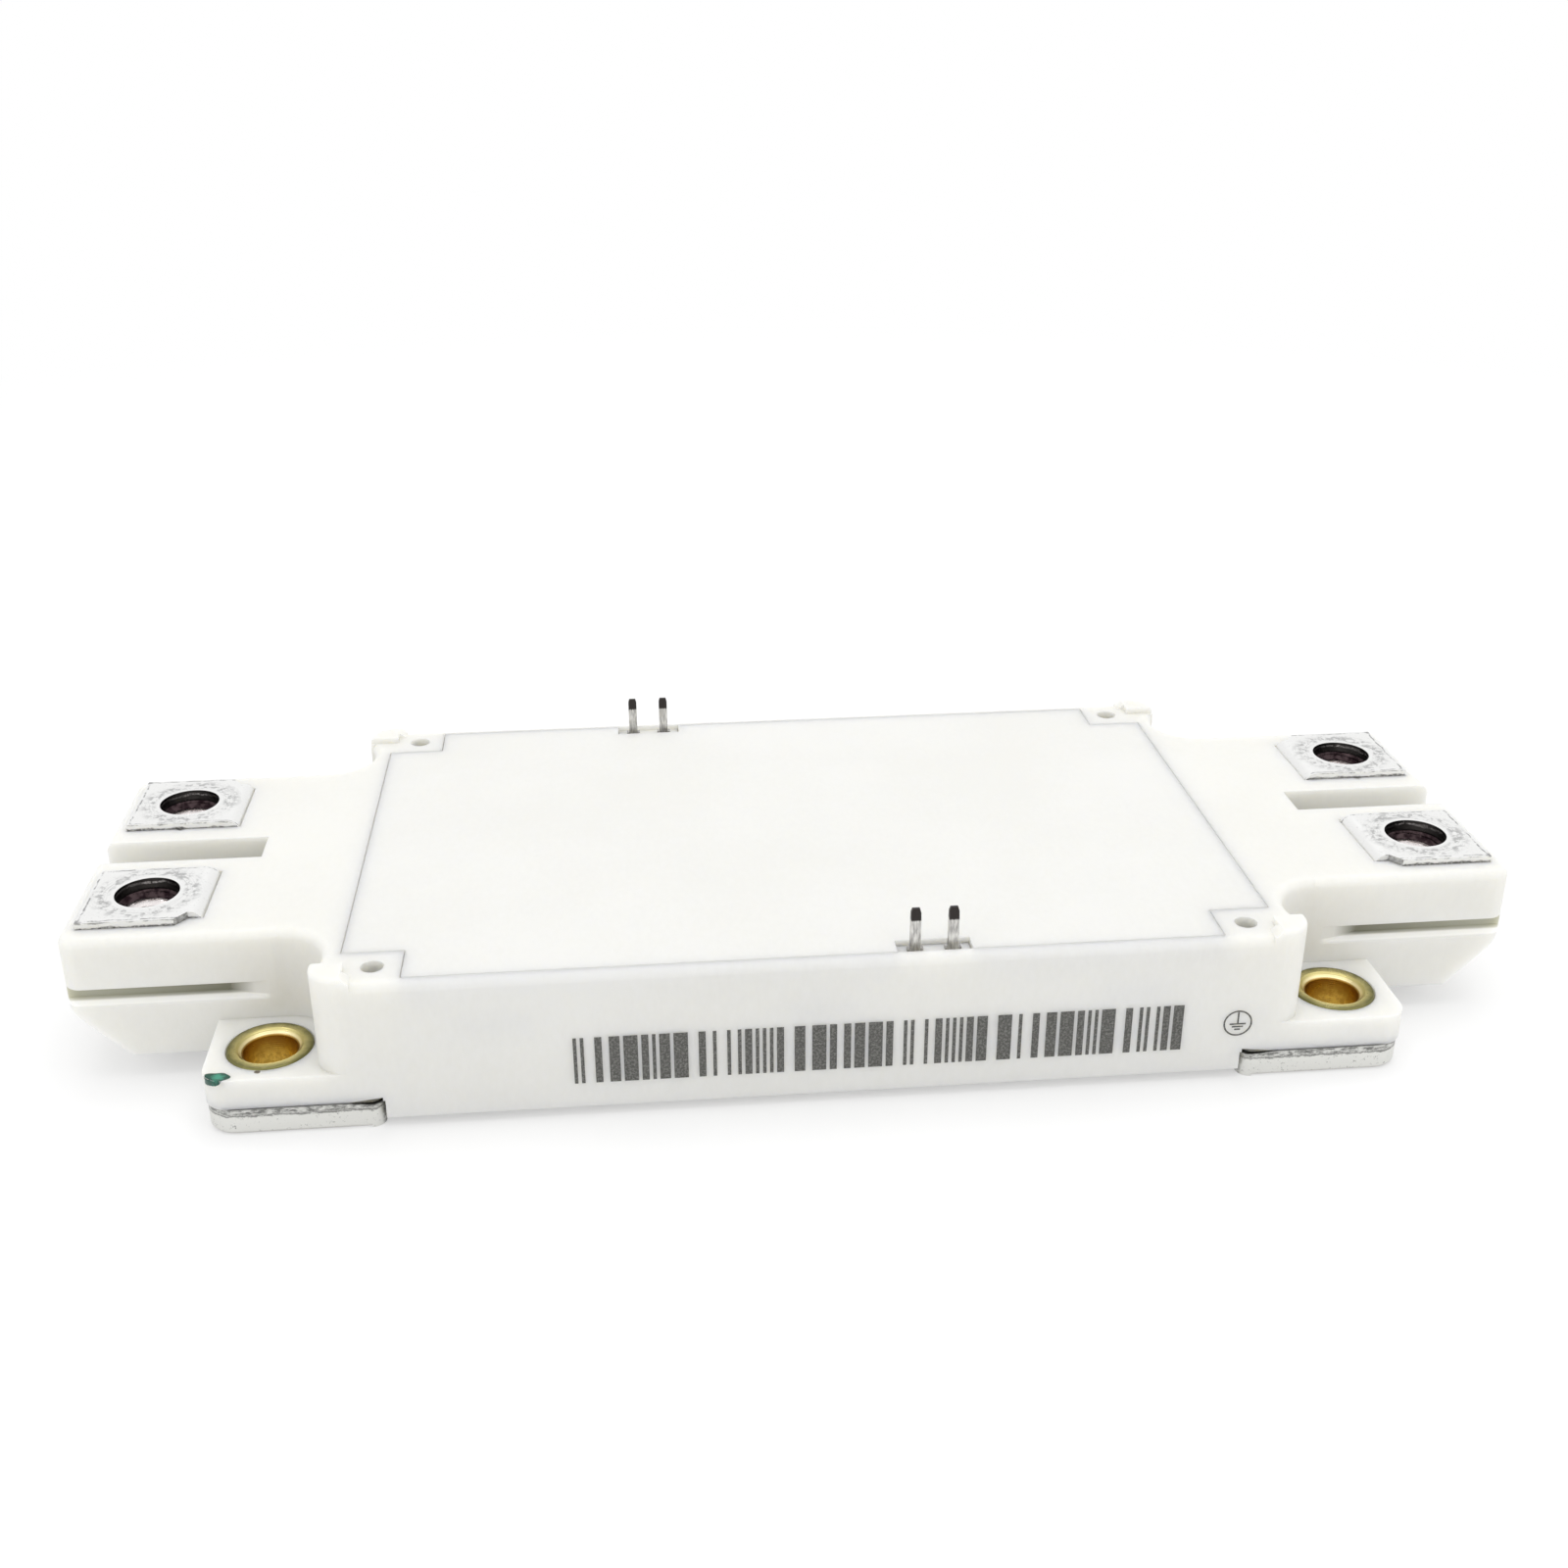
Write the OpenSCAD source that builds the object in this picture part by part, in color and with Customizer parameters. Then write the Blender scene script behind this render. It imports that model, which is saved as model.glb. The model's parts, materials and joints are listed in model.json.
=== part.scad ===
// Half-bridge power module in a flat plastic housing on a metal baseplate.
// The origin is at the centre of the baseplate's underside, X runs along the
// length, Y across the width and Z up. The front long side faces -Y.

/* [Overall] */
// Width over the two long sides
overall_w = 62; // [58:0.25:68]
// Height of the frame's top edge
rim_z = 16.3; // [15.5:0.1:18]
// Height of the corner pads over that edge, which a circuit board rests on
pad_rise = 0.7; // [0.4:0.1:2]
// Reach of the terminal wings beyond the baseplate
wing_reach = 15; // [14:0.25:18]

/* [Baseplate] */
// Length of the baseplate
plate_l = 122; // [114:0.5:134]
// Thickness of the baseplate
plate_t = 3; // [2.5:0.1:4]
// Radius of the baseplate's outer corners
plate_r = 3; // [1:0.25:4]
// Radius of the lugs' corners at the step, drawn by the punch
step_r = 1.3; // [0.3:0.1:1.4]
// Radius of the lugs' lower edges
plate_edge_r = 0.5; // [0.2:0.05:0.8]
// Length of each corner lug along the long side
lug_l = 17.5; // [15:0.5:19]
// Width of each corner lug along the short side
lug_w = 12.5; // [11.5:0.25:13]
// Step from the lugs back to the long edge
long_step = 1.5; // [1:0.1:2]
// Step from the lugs back to the short edge
short_step = 1; // [0.6:0.1:1.4]
// Distance of the mounting holes from the lugs' two edges
hole_in = 6; // [5.5:0.1:6.2]

/* [Bushings] */
// Bore for the mounting screw
bolt_d = 5.5; // [5:0.1:6]
// Outer diameter of the bushing's tube
tube_d = 7.1; // [6.8:0.1:7.6]
// Diameter of the bushing's flange
flange_d = 8.6; // [8.2:0.1:9.4]
// Thickness of the bushing's flange
flange_t = 0.8; // [0.5:0.1:1.2]
// Diameter of the flared foot under the baseplate
flare_d = 8.2; // [7.9:0.1:9]
// Height of the flared foot
flare_h = 0.6; // [0.4:0.1:1]

/* [Body] */
// Distance from the mounting holes in to the raised body's end
body_in = 5.25; // [5:0.05:5.6]
// Radius of the body's upright corners
body_r = 3; // [1:0.25:3]
// Thickness of the two long walls
side_wall = 1.8; // [1.5:0.1:2]
// Thickness of the two end walls
end_wall = 3.35; // [3:0.05:4]
// Width of the edge that stands round the lid
rim_w = 1.1; // [1:0.05:1.2]
// Radius of the rounded long top edges
rim_r = 1; // [0.3:0.05:1]
// Radius of the corner pads' rounded top edges
pad_edge_r = 0.5; // [0.3:0.05:0.6]
// Run of the slope at the end of each corner pad
pad_slope = 0.9; // [0.3:0.1:1.5]
// Height of the corner ears above the mounting plane
ear_z = 6.3; // [5.8:0.1:8]
// Radius of the ears' outer corners
ear_r = 2.5; // [0.5:0.25:3]
// Height of the skirt's lower edge above the mounting plane
skirt_z = 1; // [0.5:0.1:1.5]
// Length of each corner pad
pad_l = 4.15; // [3:0.05:5]
// Width of each corner pad
pad_w = 3.4; // [2.5:0.1:4]
// Radius of the hollow in the inner corner that clears the screw's head
scoop_r = 5; // [4.8:0.05:5.2]
// Distance from the mounting hole in to the centre of that hollow
scoop_in = 1; // [0.8:0.05:1.2]

/* [Board screw holes] */
// Distance of the board screw holes from the body's ends
board_in_x = 6.05; // [5.5:0.05:8]
// Distance of the board screw holes from the long sides
board_in_y = 3.5; // [3.2:0.05:4.5]
// Diameter of the holes for self-tapping screws
board_d = 2.3; // [1.8:0.1:2.6]
// Depth of the holes
board_depth = 7; // [5:0.5:7]
// Wall left round each hole
board_wall = 1.7; // [1.4:0.1:2]

/* [Wings] */
// Distance from the mounting holes in to the wing's side
wing_in = 5.5; // [5:0.05:6.5]
// Height of the wings' underside
wing_z = 2.6; // [2:0.1:2.9]
// Size of the slope under each wing's end
wing_slope = 5.9; // [4:0.1:6.5]
// Radius of the wings' upright corners
wing_r = 1.8; // [1.2:0.1:2.5]
// Radius of the wings' top edges
wing_edge_r = 1; // [0.3:0.05:1.1]
// Height of the groove's lower edge in the wing's side
groove_z = 9.4; // [8.5:0.1:11]
// Height of that groove
groove_h = 1.2; // [0.6:0.05:1.5]
// Height of the slope that leads out of the groove at its lower edge
groove_lip = 0.9; // [0.3:0.05:1]
// Depth of that groove
groove_d = 0.9; // [0.4:0.05:1.2]
// Length of the groove back from the wing's end
groove_l = 16.5; // [10:0.5:17]
// Length over which the groove runs out towards the body
groove_run_out = 4; // [1:0.2:5]
// Width of the creepage slot between the two terminals of an end
slot_w = 4.9; // [3:0.1:6]
// Length of the creepage slot
slot_l = 17.7; // [12:0.1:20]
// Depth of the creepage slot
slot_depth = 7.8; // [4:0.1:9]

/* [Terminals] */
// Distance of the terminal screws from the wing's end
term_in = 7.5; // [7:0.1:8.5]
// Distance of the terminal screws from the wing's side
term_side = 8.5; // [8:0.1:9]
// Height of the tabs' contact face over the frame's top edge
tab_rise = 0.7; // [0.3:0.1:1.1]
// Thickness of the terminal strip
strip_t = 1.2; // [1:0.05:1.4]
// Inner radius of the bends in the terminal strip
bend_r = 0.3; // [0.2:0.05:0.6]
// Length of the tab beyond the screw's centre
tab_out = 5.9; // [5.5:0.1:6.2]
// Width of the tab towards the module's middle, from the screw's centre
tab_in_w = 5.5; // [5.2:0.1:5.8]
// Width of the tab towards the wing's side, from the screw's centre
tab_side_w = 6.1; // [5.8:0.1:6.4]
// Corner cut off the tab beside its bend, along the module's length
tab_cut = 1.1; // [0.8:0.1:1.6]
// Corner cut off the tab beside its bend, across the module's width
tab_cut_w = 1.4; // [1:0.1:2]
// Hole in the tab for the terminal screw
tab_hole_d = 6.6; // [6.5:0.1:7.2]
// Height of the strip's run through the housing over the gel
run_over = 0.8; // [0.3:0.1:1.2]
// Width of the nut across its flats
nut_af = 10; // [9.8:0.1:10.2]
// Height of the nut
nut_h = 5; // [4.6:0.1:5.2]
// Bore of the nut inside its thread
nut_bore_d = 5; // [4.8:0.05:5.2]
// Depth of the blind hole under the nut for the screw's end
relief_depth = 5; // [3:0.1:5.5]
// Diameter of that blind hole
relief_d = 6.8; // [6.4:0.1:7]
// Width of the window in the wing's end that shows the nut
window_w = 7.4; // [5:0.2:8]
// Height of that window
window_h = 3.8; // [2:0.1:4]

/* [Lid] */
// Thickness of the lid
lid_t = 1.6; // [1.2:0.1:2]
// Depth of the two stiffening ribs under the lid
rib_h = 2; // [1:0.1:3]
// Width of the ribs
rib_w = 1.2; // [0.8:0.1:2]
// Width of the snap hooks
hook_w = 6; // [4:0.5:8]
// Thickness of the snap hooks
hook_t = 1.2; // [0.8:0.1:1.5]
// Depth that the hooks reach below the lid
hook_h = 4.4; // [3.5:0.1:6]
// Catch at the end of each hook
hook_catch = 0.6; // [0.4:0.05:0.8]

/* [Signal pins] */
// Grid on which the pins stand
pin_pitch = 3.81; // [3.5:0.01:4]
// Distance of the pins from the long side
pin_in = 2.25; // [2.1:0.05:2.4]
// Place of the front pair, in half steps of the grid right of the middle
front_pair = 6; // [2:2:8]
// Place of the rear pair, in half steps of the grid left of the middle
rear_pair = 8; // [4:2:8]
// Width of a pin
pin_w = 1; // [0.8:0.05:1.2]
// Thickness of a pin
pin_t = 0.8; // [0.6:0.05:0.9]
// Height of the pins' tips over the frame's top edge
pin_rise = 4.2; // [3:0.1:6]
// Length of the bevelled tip
pin_tip = 1.4; // [0.5:0.1:1.6]
// Extra width of the shoulder on each side
pin_shoulder = 0.3; // [0.2:0.05:0.5]
// Height of the shoulder over the carrier
shoulder_h = 0.4; // [0.3:0.05:0.5]
// Width of the pocket in the lid round a pair of pins
pocket_w = 7.6; // [7.2:0.1:8.4]
// Depth of that pocket under the frame's top edge
pocket_sink = 0.6; // [0.5:0.05:1]
// Width of the pocket behind the rim
pocket_d = 2.3; // [2.1:0.05:2.6]
// Height of the shelf that carries the pins' feet
shelf_z = 6; // [5.6:0.1:7]
// Length of a pin's foot
foot_l = 2; // [1.6:0.1:2.4]

/* [Power circuit] */
// Gap between neighbouring substrates
sub_gap = 1; // [0.5:0.1:1.5]
// Gap between the outer substrates and the end walls
sub_end_gap = 2.65; // [2:0.05:3]
// Gap between the substrates and the long walls
sub_side_gap = 3.2; // [3.1:0.05:3.6]
// Thickness of the solder under the substrates
solder_t = 0.2; // [0.1:0.05:0.3]
// Thickness of the copper on each side
copper_t = 0.3; // [0.2:0.05:0.4]
// Thickness of the ceramic
ceramic_t = 0.4; // [0.3:0.05:0.6]
// Bare edge of the ceramic round the copper
bare_edge = 0.8; // [0.5:0.1:1]
// Side of a transistor chip
igbt_w = 8.8; // [8:0.1:9.4]
// Side of a diode chip
diode_w = 6.5; // [5.5:0.1:7.5]
// Thickness of the chips
chip_t = 0.2; // [0.15:0.01:0.3]
// Diameter of the bond wires
wire_d = 0.4; // [0.3:0.05:0.5]
// Height of the bond wires' arches over their feet
wire_rise = 2; // [1.5:0.1:2.4]
// Height of the gel's surface
gel_z = 7.6; // [7.4:0.1:8]

/* [Fits] */
// Clearance round pieces that slot into the housing
slip = 0.1; // [0.05:0.01:0.15]
// Gap between the skirt and the baseplate's edge
skirt_gap = 0.1; // [0.05:0.01:0.3]

/* [Hidden] */

$fn = 64;
big = 200;
eps = 0.5;

// Sides of the module.
LEFT = -1;
RIGHT = 1;
FRONT = -1;
REAR = 1;

side_y = overall_w / 2;
plate_x = plate_l / 2;
end_x = plate_x + wing_reach;
hole_x = plate_x - hole_in;
hole_y = side_y - hole_in;
body_x = hole_x - body_in;
wing_y = hole_y - wing_in;
lug_x = plate_x - lug_l;
lug_y = side_y - lug_w;
pad_z = rim_z + pad_rise;
board_x = body_x - board_in_x;
board_y = side_y - board_in_y;

// Centre of the hollow over an ear. It bites a little into the wing's side.
scoop_bite = 0.05;
scoop_x = hole_x - scoop_in;
scoop_y = wing_y + scoop_r - scoop_bite;

// Room inside the frame and the ledge that the lid lies on.
room_x = body_x - end_wall;
room_y = side_y - side_wall;
ledge_w = side_wall - rim_w;
lid_x = room_x + ledge_w;
lid_y = side_y - rim_w;
ledge_z = rim_z - lid_t;

// Terminals: the leg stands behind the nut and the run passes under it.
term_x = end_x - term_in;
term_y = wing_y - term_side;
term_z = rim_z + tab_rise;
run_z = gel_z + run_over;
nut_gap = 0.3;
leg_x = term_x - nut_af / 2 - nut_gap - strip_t;
top_bend_x = leg_x + strip_t + bend_r;
tab_end_x = term_x + tab_out;
tab_z = term_z - strip_t;
nut_z = tab_z - nut_h;
lead_y0 = term_y - tab_in_w;
lead_y1 = term_y + tab_side_w - tab_cut_w;
tab_y1 = term_y + tab_side_w;

// Levels of the power circuit's layers.
solder_z = plate_t;
bottom_copper_z = solder_z + solder_t;
ceramic_z = bottom_copper_z + copper_t;
top_copper_z = ceramic_z + ceramic_t;
island_z = top_copper_z + copper_t;
chip_z = island_z + chip_t;

// Three substrates fill the room's length and width, less the named gaps.
sub_w = (2 * room_x - 2 * sub_end_gap - 2 * sub_gap) / 3;
sub_pitch = sub_w + sub_gap;
sub_l = 2 * (room_y - sub_side_gap);

// Copper islands across a substrate, each from one Y to the next: gate, minus,
// phase, plus and gate. Phase and plus share what the narrow ones leave.
island_gap = 0.8;
copper_y = sub_l / 2 - bare_edge;
gate_w = 1.8;
minus_w = 5;
phase_w = (2 * copper_y - 2 * gate_w - minus_w - 4 * island_gap) / 2;
low_gate_y = [-copper_y, -copper_y + gate_w];
minus_y = [low_gate_y[1] + island_gap, low_gate_y[1] + island_gap + minus_w];
phase_y = [minus_y[1] + island_gap, minus_y[1] + island_gap + phase_w];
high_gate_y = [copper_y - gate_w, copper_y];
plus_y = [phase_y[1] + island_gap, high_gate_y[0] - island_gap];

// Rows of chips on the phase island (low side) and the plus island (high side).
chip_gap = (phase_w - igbt_w - diode_w) / 3;
low_igbt_y = phase_y[0] + chip_gap + igbt_w / 2;
low_diode_y = low_igbt_y + igbt_w / 2 + chip_gap + diode_w / 2;
high_igbt_y = plus_y[0] + chip_gap + igbt_w / 2;
high_diode_y = high_igbt_y + igbt_w / 2 + chip_gap + diode_w / 2;

// Feet of the terminals on the outer substrates, and the width that they take
// from the chips' columns.
term_foot_l = 2.2;
foot_zone = term_foot_l + 2 * bend_r + strip_t + 0.5;
foot_x0 = sub_pitch + sub_w / 2 - bare_edge - foot_zone;
foot_x1 = foot_x0 + term_foot_l;
column_gap = (sub_w - 2 * bare_edge - foot_zone - 2 * igbt_w) / 3;
column_dx = igbt_w + column_gap;
column_shift = foot_zone / 2;

// Pins and the carriers that hold them on the long walls.
pin_y = side_y - pin_in;
pin_z = rim_z + pin_rise;
carrier_w = 3 * pin_pitch;
carrier_y = pin_y - pin_t / 2 - 0.75;
shelf_y = carrier_y - 1.4;
pocket_z = rim_z - pocket_sink;
shoulder_z = pocket_z + shoulder_h;

// Both halves of something that is drawn on one side.
module both(axis) {
  children();
  mirror(axis) children();
}

module all_corners() {
  both([1, 0, 0]) both([0, 1, 0]) children();
}

// A box between two corners.
module span(low, high) {
  translate(low) cube(high - low);
}

// A box on the middle of both axes whose upright edges are rounded.
module rounded_box(half_x, half_y, r, z0, z1) {
  span([-half_x + r, -half_y, z0], [half_x - r, half_y, z1]);
  span([-half_x, -half_y + r, z0], [half_x, half_y - r, z1]);
  all_corners()
    translate([half_x - r, half_y - r, z0]) cylinder(r = r, h = z1 - z0);
}

// Cutter that rounds a top edge along X at y and z.
module edge_round_x(x0, x1, y, z, r) {
  difference() {
    span([x0, y - r, z - r], [x1, y + eps, z + eps]);
    translate([x0 - eps, y - r, z - r]) rotate([0, 90, 0]) cylinder(r = r, h = x1 - x0 + 2 * eps);
  }
}

// Cutter that rounds a top edge along Y at x and z.
module edge_round_y(y0, y1, x, z, r) {
  difference() {
    span([x - r, y0, z - r], [x + eps, y1, z + eps]);
    translate([x - r, y0 - eps, z - r]) rotate([-90, 0, 0]) cylinder(r = r, h = y1 - y0 + 2 * eps);
  }
}

// Cutter that rounds the top edge of an upright corner of radius corner_r about x and y.
module edge_round_corner(x, y, corner_r, z, r) {
  translate([x, y, 0]) rotate_extrude(angle = 90) difference() {
    translate([corner_r - r, z - r]) square(r + eps);
    translate([corner_r - r, z - r]) circle(r = r);
  }
}

// Cutters for a corner's top edges: x0 and y0 are where the straight edges begin.
module edge_round_both(x0, y0, half_x, half_y, corner_r, z, r) {
  edge_round_x(x0, half_x - corner_r, half_y, z, r);
  edge_round_y(y0, half_y - corner_r, half_x, z, r);
  edge_round_corner(half_x - corner_r, half_y - corner_r, corner_r, z, r);
}

// ---- Baseplate: stamped copper with a corner lug at each mounting hole ----

module baseplate_outline(z0, z1) {
  difference() {
    rounded_box(plate_x, side_y, plate_r, z0, z1);
    both([0, 1, 0]) span([-lug_x, side_y - long_step, z0 - eps], [lug_x, side_y + eps, z1 + eps]);
    both([1, 0, 0]) span([plate_x - short_step, -lug_y, z0 - eps], [plate_x + eps, lug_y, z1 + eps]);
    all_corners() difference() {
      span([lug_x - eps, side_y - step_r, z0 - eps], [lug_x + step_r, side_y + eps, z1 + eps]);
      translate([lug_x + step_r, side_y - step_r, z0 - 2 * eps]) cylinder(r = step_r, h = z1 - z0 + 4 * eps);
    }
    all_corners() mirror([0, 0, 1])
      edge_round_both(lug_x + step_r, lug_y, plate_x, side_y, plate_r, -z0, plate_edge_r);
  }
}

module baseplate() {
  color("silver") difference() {
    baseplate_outline(0, plate_t);
    all_corners() translate([hole_x, hole_y, 0]) {
      translate([0, 0, -eps]) cylinder(d = tube_d + 2 * slip, h = plate_t + 2 * eps);
      translate([0, 0, -eps]) cylinder(d = flare_d + 2 * slip, h = flare_h + eps);
    }
  }
}

// ---- Bushings: turned brass sleeves that clamp the frame to the baseplate ----

module bushing(side_x, side_y_sign) {
  top_z = ear_z + 0.1;
  bevel = 0.6;
  foot_gap = 0.05;
  color("goldenrod") translate([side_x * hole_x, side_y_sign * hole_y, 0]) rotate_extrude()
    polygon([
      [bolt_d / 2, foot_gap],
      [flare_d / 2, foot_gap],
      [flare_d / 2, flare_h],
      [tube_d / 2, flare_h],
      [tube_d / 2, top_z - flange_t],
      [flange_d / 2, top_z - flange_t],
      [flange_d / 2, top_z - 0.15],
      [flange_d / 2 - 0.15, top_z],
      [bolt_d / 2 + bevel, top_z],
      [bolt_d / 2, top_z - bevel],
    ]);
}

// ---- Housing frame: one moulding of body, wings, ears and skirt ----

// Body and its corner pads, solid. The pads slope down to the frame's edge.
module body_block() {
  pad_x = body_x - pad_l;
  rounded_box(body_x, side_y, body_r, plate_t, rim_z);
  difference() {
    intersection() {
      rounded_box(body_x, side_y, body_r, plate_t, pad_z);
      all_corners() translate([0, big, 0]) rotate([90, 0, 0]) linear_extrude(big - side_y + pad_w) polygon([
        [pad_x, rim_z - eps],
        [pad_x, rim_z],
        [pad_x + pad_slope, pad_z],
        [big, pad_z],
        [big, rim_z - eps],
      ]);
    }
    all_corners() edge_round_both(pad_x, side_y - pad_w - eps, body_x, side_y, body_r, pad_z, pad_edge_r);
  }
}

// Terminal wings, sloped under their ends.
module wing_block() {
  intersection() {
    rounded_box(end_x, wing_y, wing_r, wing_z, rim_z);
    rotate([90, 0, 0]) linear_extrude(2 * wing_y + 2 * eps, center = true) polygon([
      [-end_x, rim_z],
      [-end_x, wing_z + wing_slope],
      [-end_x + wing_slope, wing_z],
      [end_x - wing_slope, wing_z],
      [end_x, wing_z + wing_slope],
      [end_x, rim_z],
    ]);
  }
}

// Ears over the baseplate's corner lugs.
module ear_block() {
  rounded_box(plate_x, side_y, ear_r, plate_t, ear_z);
}

// Block in the corner of wing and body that the hollow is cut from.
module corner_block() {
  all_corners() span([body_x - eps, wing_y - eps, plate_t], [scoop_x, scoop_y, rim_z]);
}

// Skirt round the stepped edge of the baseplate.
module skirt_block() {
  span([-lug_x + 2 * skirt_gap, -side_y, skirt_z], [lug_x - 2 * skirt_gap, side_y, plate_t + eps]);
  span([-plate_x, -lug_y + 2 * skirt_gap, skirt_z], [plate_x, lug_y - 2 * skirt_gap, plate_t + eps]);
}

// Space that the baseplate takes inside the skirt.
module plate_room() {
  long_y = side_y - long_step + skirt_gap;
  short_x = plate_x - short_step + skirt_gap;
  span([-short_x, -long_y, -eps], [short_x, long_y, plate_t]);
  all_corners() span([body_x, lug_y - skirt_gap, -eps], [plate_x + skirt_gap, side_y + eps, plate_t]);
}

// Space inside the frame, with the ledge for the lid.
module inner_room() {
  span([-room_x, -room_y, plate_t - eps], [room_x, room_y, pad_z + eps]);
  difference() {
    span([-lid_x, -lid_y, ledge_z], [lid_x, lid_y, pad_z + eps]);
    all_corners() board_boss(pad_z + 2 * eps);
  }
}

// Boss for a board screw in the body's corner, drawn in the rear right corner.
module board_boss(top_z) {
  reach = board_d / 2 + board_wall;
  floor_t = 1.2;
  span([board_x - reach, board_y - reach, rim_z - board_depth - floor_t],
       [lid_x + eps, lid_y + eps, top_z]);
}

// Carrier of a pair of pins on the front wall, drawn at its own X. It fills the
// lid's pocket but for the pocket's depth.
module pin_carrier(x) {
  half = pocket_w / 2 - slip;
  span([x - half, -lid_y - eps, ledge_z - eps], [x + half, -lid_y + pocket_d - slip, pocket_z]);
  span([x - carrier_w / 2, -room_y - eps, plate_t], [x + carrier_w / 2, -carrier_y, ledge_z]);
  span([x - carrier_w / 2, -room_y - eps, plate_t], [x + carrier_w / 2, -shelf_y, shelf_z]);
}

front_pair_x = front_pair / 2 * pin_pitch;
rear_pair_x = -rear_pair / 2 * pin_pitch;

module pin_carriers() {
  pin_carrier(front_pair_x);
  mirror([0, 1, 0]) pin_carrier(rear_pair_x);
}

// Room for a terminal strip, its nut and the screw's end, rear right corner.
module terminal_room() {
  c = slip;
  // Tab and its bend, open at the top
  translate([0, 0, tab_z]) linear_extrude(rim_z + eps - tab_z) polygon([
    [leg_x - c, lead_y0 - c],
    [tab_end_x + c, lead_y0 - c],
    [tab_end_x + c, tab_y1 + c],
    [top_bend_x + tab_cut - c / 2, tab_y1 + c],
    [top_bend_x - c / 2, lead_y1 + c],
    [leg_x - c, lead_y1 + c],
  ]);
  // Leg behind the nut
  span([leg_x - c, lead_y0 - c, run_z - c], [leg_x + strip_t + nut_gap, lead_y1 + c, tab_z + eps]);
  // Run into the body
  span([room_x - eps, lead_y0 - c, run_z - c], [leg_x + eps, lead_y1 + c, run_z + strip_t + c]);
  // Nut, window in the wing's end and room for the screw's end
  translate([term_x, term_y, nut_z]) rotate([0, 0, 30])
    cylinder(r = (nut_af / 2 + c) / cos(30), h = nut_h + eps, $fn = 6);
  translate([term_x, term_y - window_w / 2, nut_z + (nut_h - window_h) / 2])
    cube([big, window_w, window_h]);
  translate([term_x, term_y, nut_z - relief_depth]) cylinder(d = relief_d, h = relief_depth + eps);
}

// Groove along the wing's side, rear right corner, with its run-out and a lower
// edge that slopes out.
module side_groove() {
  x0 = end_x - groove_l;
  low_z = groove_z - groove_lip;
  intersection() {
    translate([0, 0, low_z]) linear_extrude(groove_lip + groove_h) polygon([
      [x0 - groove_run_out, wing_y],
      [x0, wing_y - groove_d],
      [end_x + eps, wing_y - groove_d],
      [end_x + eps, wing_y + eps],
      [x0 - groove_run_out, wing_y + eps],
    ]);
    translate([x0 - groove_run_out - eps, 0, 0]) rotate([90, 0, 90]) linear_extrude(big) polygon([
      [wing_y + 2 * eps, low_z],
      [wing_y + 2 * eps, groove_z + groove_h + eps],
      [wing_y - groove_d - eps, groove_z + groove_h + eps],
      [wing_y - groove_d - eps, groove_z],
      [wing_y - groove_d, groove_z],
      [wing_y, low_z],
    ]);
  }
}

// Rounding of the top edge round the hollow over an ear, rear right corner. It
// ends where the hollow leaves the body's side.
module scoop_round() {
  r = wing_edge_r;
  turn = acos((scoop_x - body_x) / scoop_r);
  translate([scoop_x, scoop_y, 0]) rotate([0, 0, 180 - turn]) rotate_extrude(angle = 90 + turn) difference() {
    translate([scoop_r - eps, rim_z - r]) square([r + eps, r + eps / 2]);
    translate([scoop_r + r, rim_z - r]) circle(r = r);
  }
}

// Thin relief between the ear and the baseplate beside the lug's step.
module lug_relief() {
  relief_l = 3.5;
  relief_h = 0.4;
  rotate([90, 0, 0]) translate([0, 0, -side_y - eps]) linear_extrude(long_step + eps)
    polygon([[lug_x, plate_t - eps], [lug_x, plate_t + relief_h], [lug_x + relief_l, plate_t], [lug_x + relief_l, plate_t - eps]]);
}

module housing_frame() {
  color("ivory") difference() {
    union() {
      difference() {
        union() {
          body_block();
          wing_block();
          ear_block();
          corner_block();
          skirt_block();
        }
        inner_room();
      }
      intersection() {
        all_corners() board_boss(rim_z);
        rounded_box(body_x, side_y, body_r, plate_t, rim_z);
      }
      pin_carriers();
    }
    plate_room();
    both([0, 1, 0]) {
      edge_round_x(-body_x + pad_l, body_x - pad_l, side_y, rim_z, rim_r);
    }
    both([1, 0, 0]) {
      span([end_x - slot_l, -slot_w / 2, rim_z - slot_depth], [end_x + eps, slot_w / 2, rim_z + eps]);
    }
    all_corners() {
      edge_round_both(scoop_x - eps, 0, end_x, wing_y, wing_r, rim_z, wing_edge_r);
      scoop_round();
      translate([scoop_x, scoop_y, ear_z]) cylinder(r = scoop_r, h = big);
      translate([hole_x, hole_y, 0]) cylinder(d = tube_d + 2 * slip, h = big);
      translate([hole_x, hole_y, ear_z + 0.1 - flange_t]) cylinder(d = flange_d + 2 * slip, h = big);
      terminal_room();
      side_groove();
      lug_relief();
      translate([board_x, board_y, rim_z - board_depth]) cylinder(d = board_d, h = big);
      hook_pockets();
    }
    pin_holes();
  }
}

// ---- Lid: flat cover that snaps into the frame ----

hook_place = room_x - 14.4;

// Places of the snap hooks, in the right half and in the middle.
module hook_pockets() {
  for (x = [0, hook_place])
    span([x - hook_w / 2 - slip, room_y - eps, ledge_z - hook_h - slip],
         [x + hook_w / 2 + slip, room_y + hook_catch + slip, ledge_z - hook_h + hook_catch * 2 + slip]);
}

module hook(x) {
  y1 = room_y - slip;
  z0 = ledge_z - hook_h;
  translate([x + hook_w / 2, 0, 0]) rotate([0, -90, 0]) linear_extrude(hook_w) polygon([
    [ledge_z + lid_t / 2, y1 - hook_t],
    [z0, y1 - hook_t],
    [z0, y1],
    [z0 + hook_catch, y1 + hook_catch],
    [z0 + hook_catch * 2, y1 + hook_catch],
    [z0 + hook_catch * 2, y1],
    [ledge_z + lid_t / 2, y1],
  ]);
}

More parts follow.
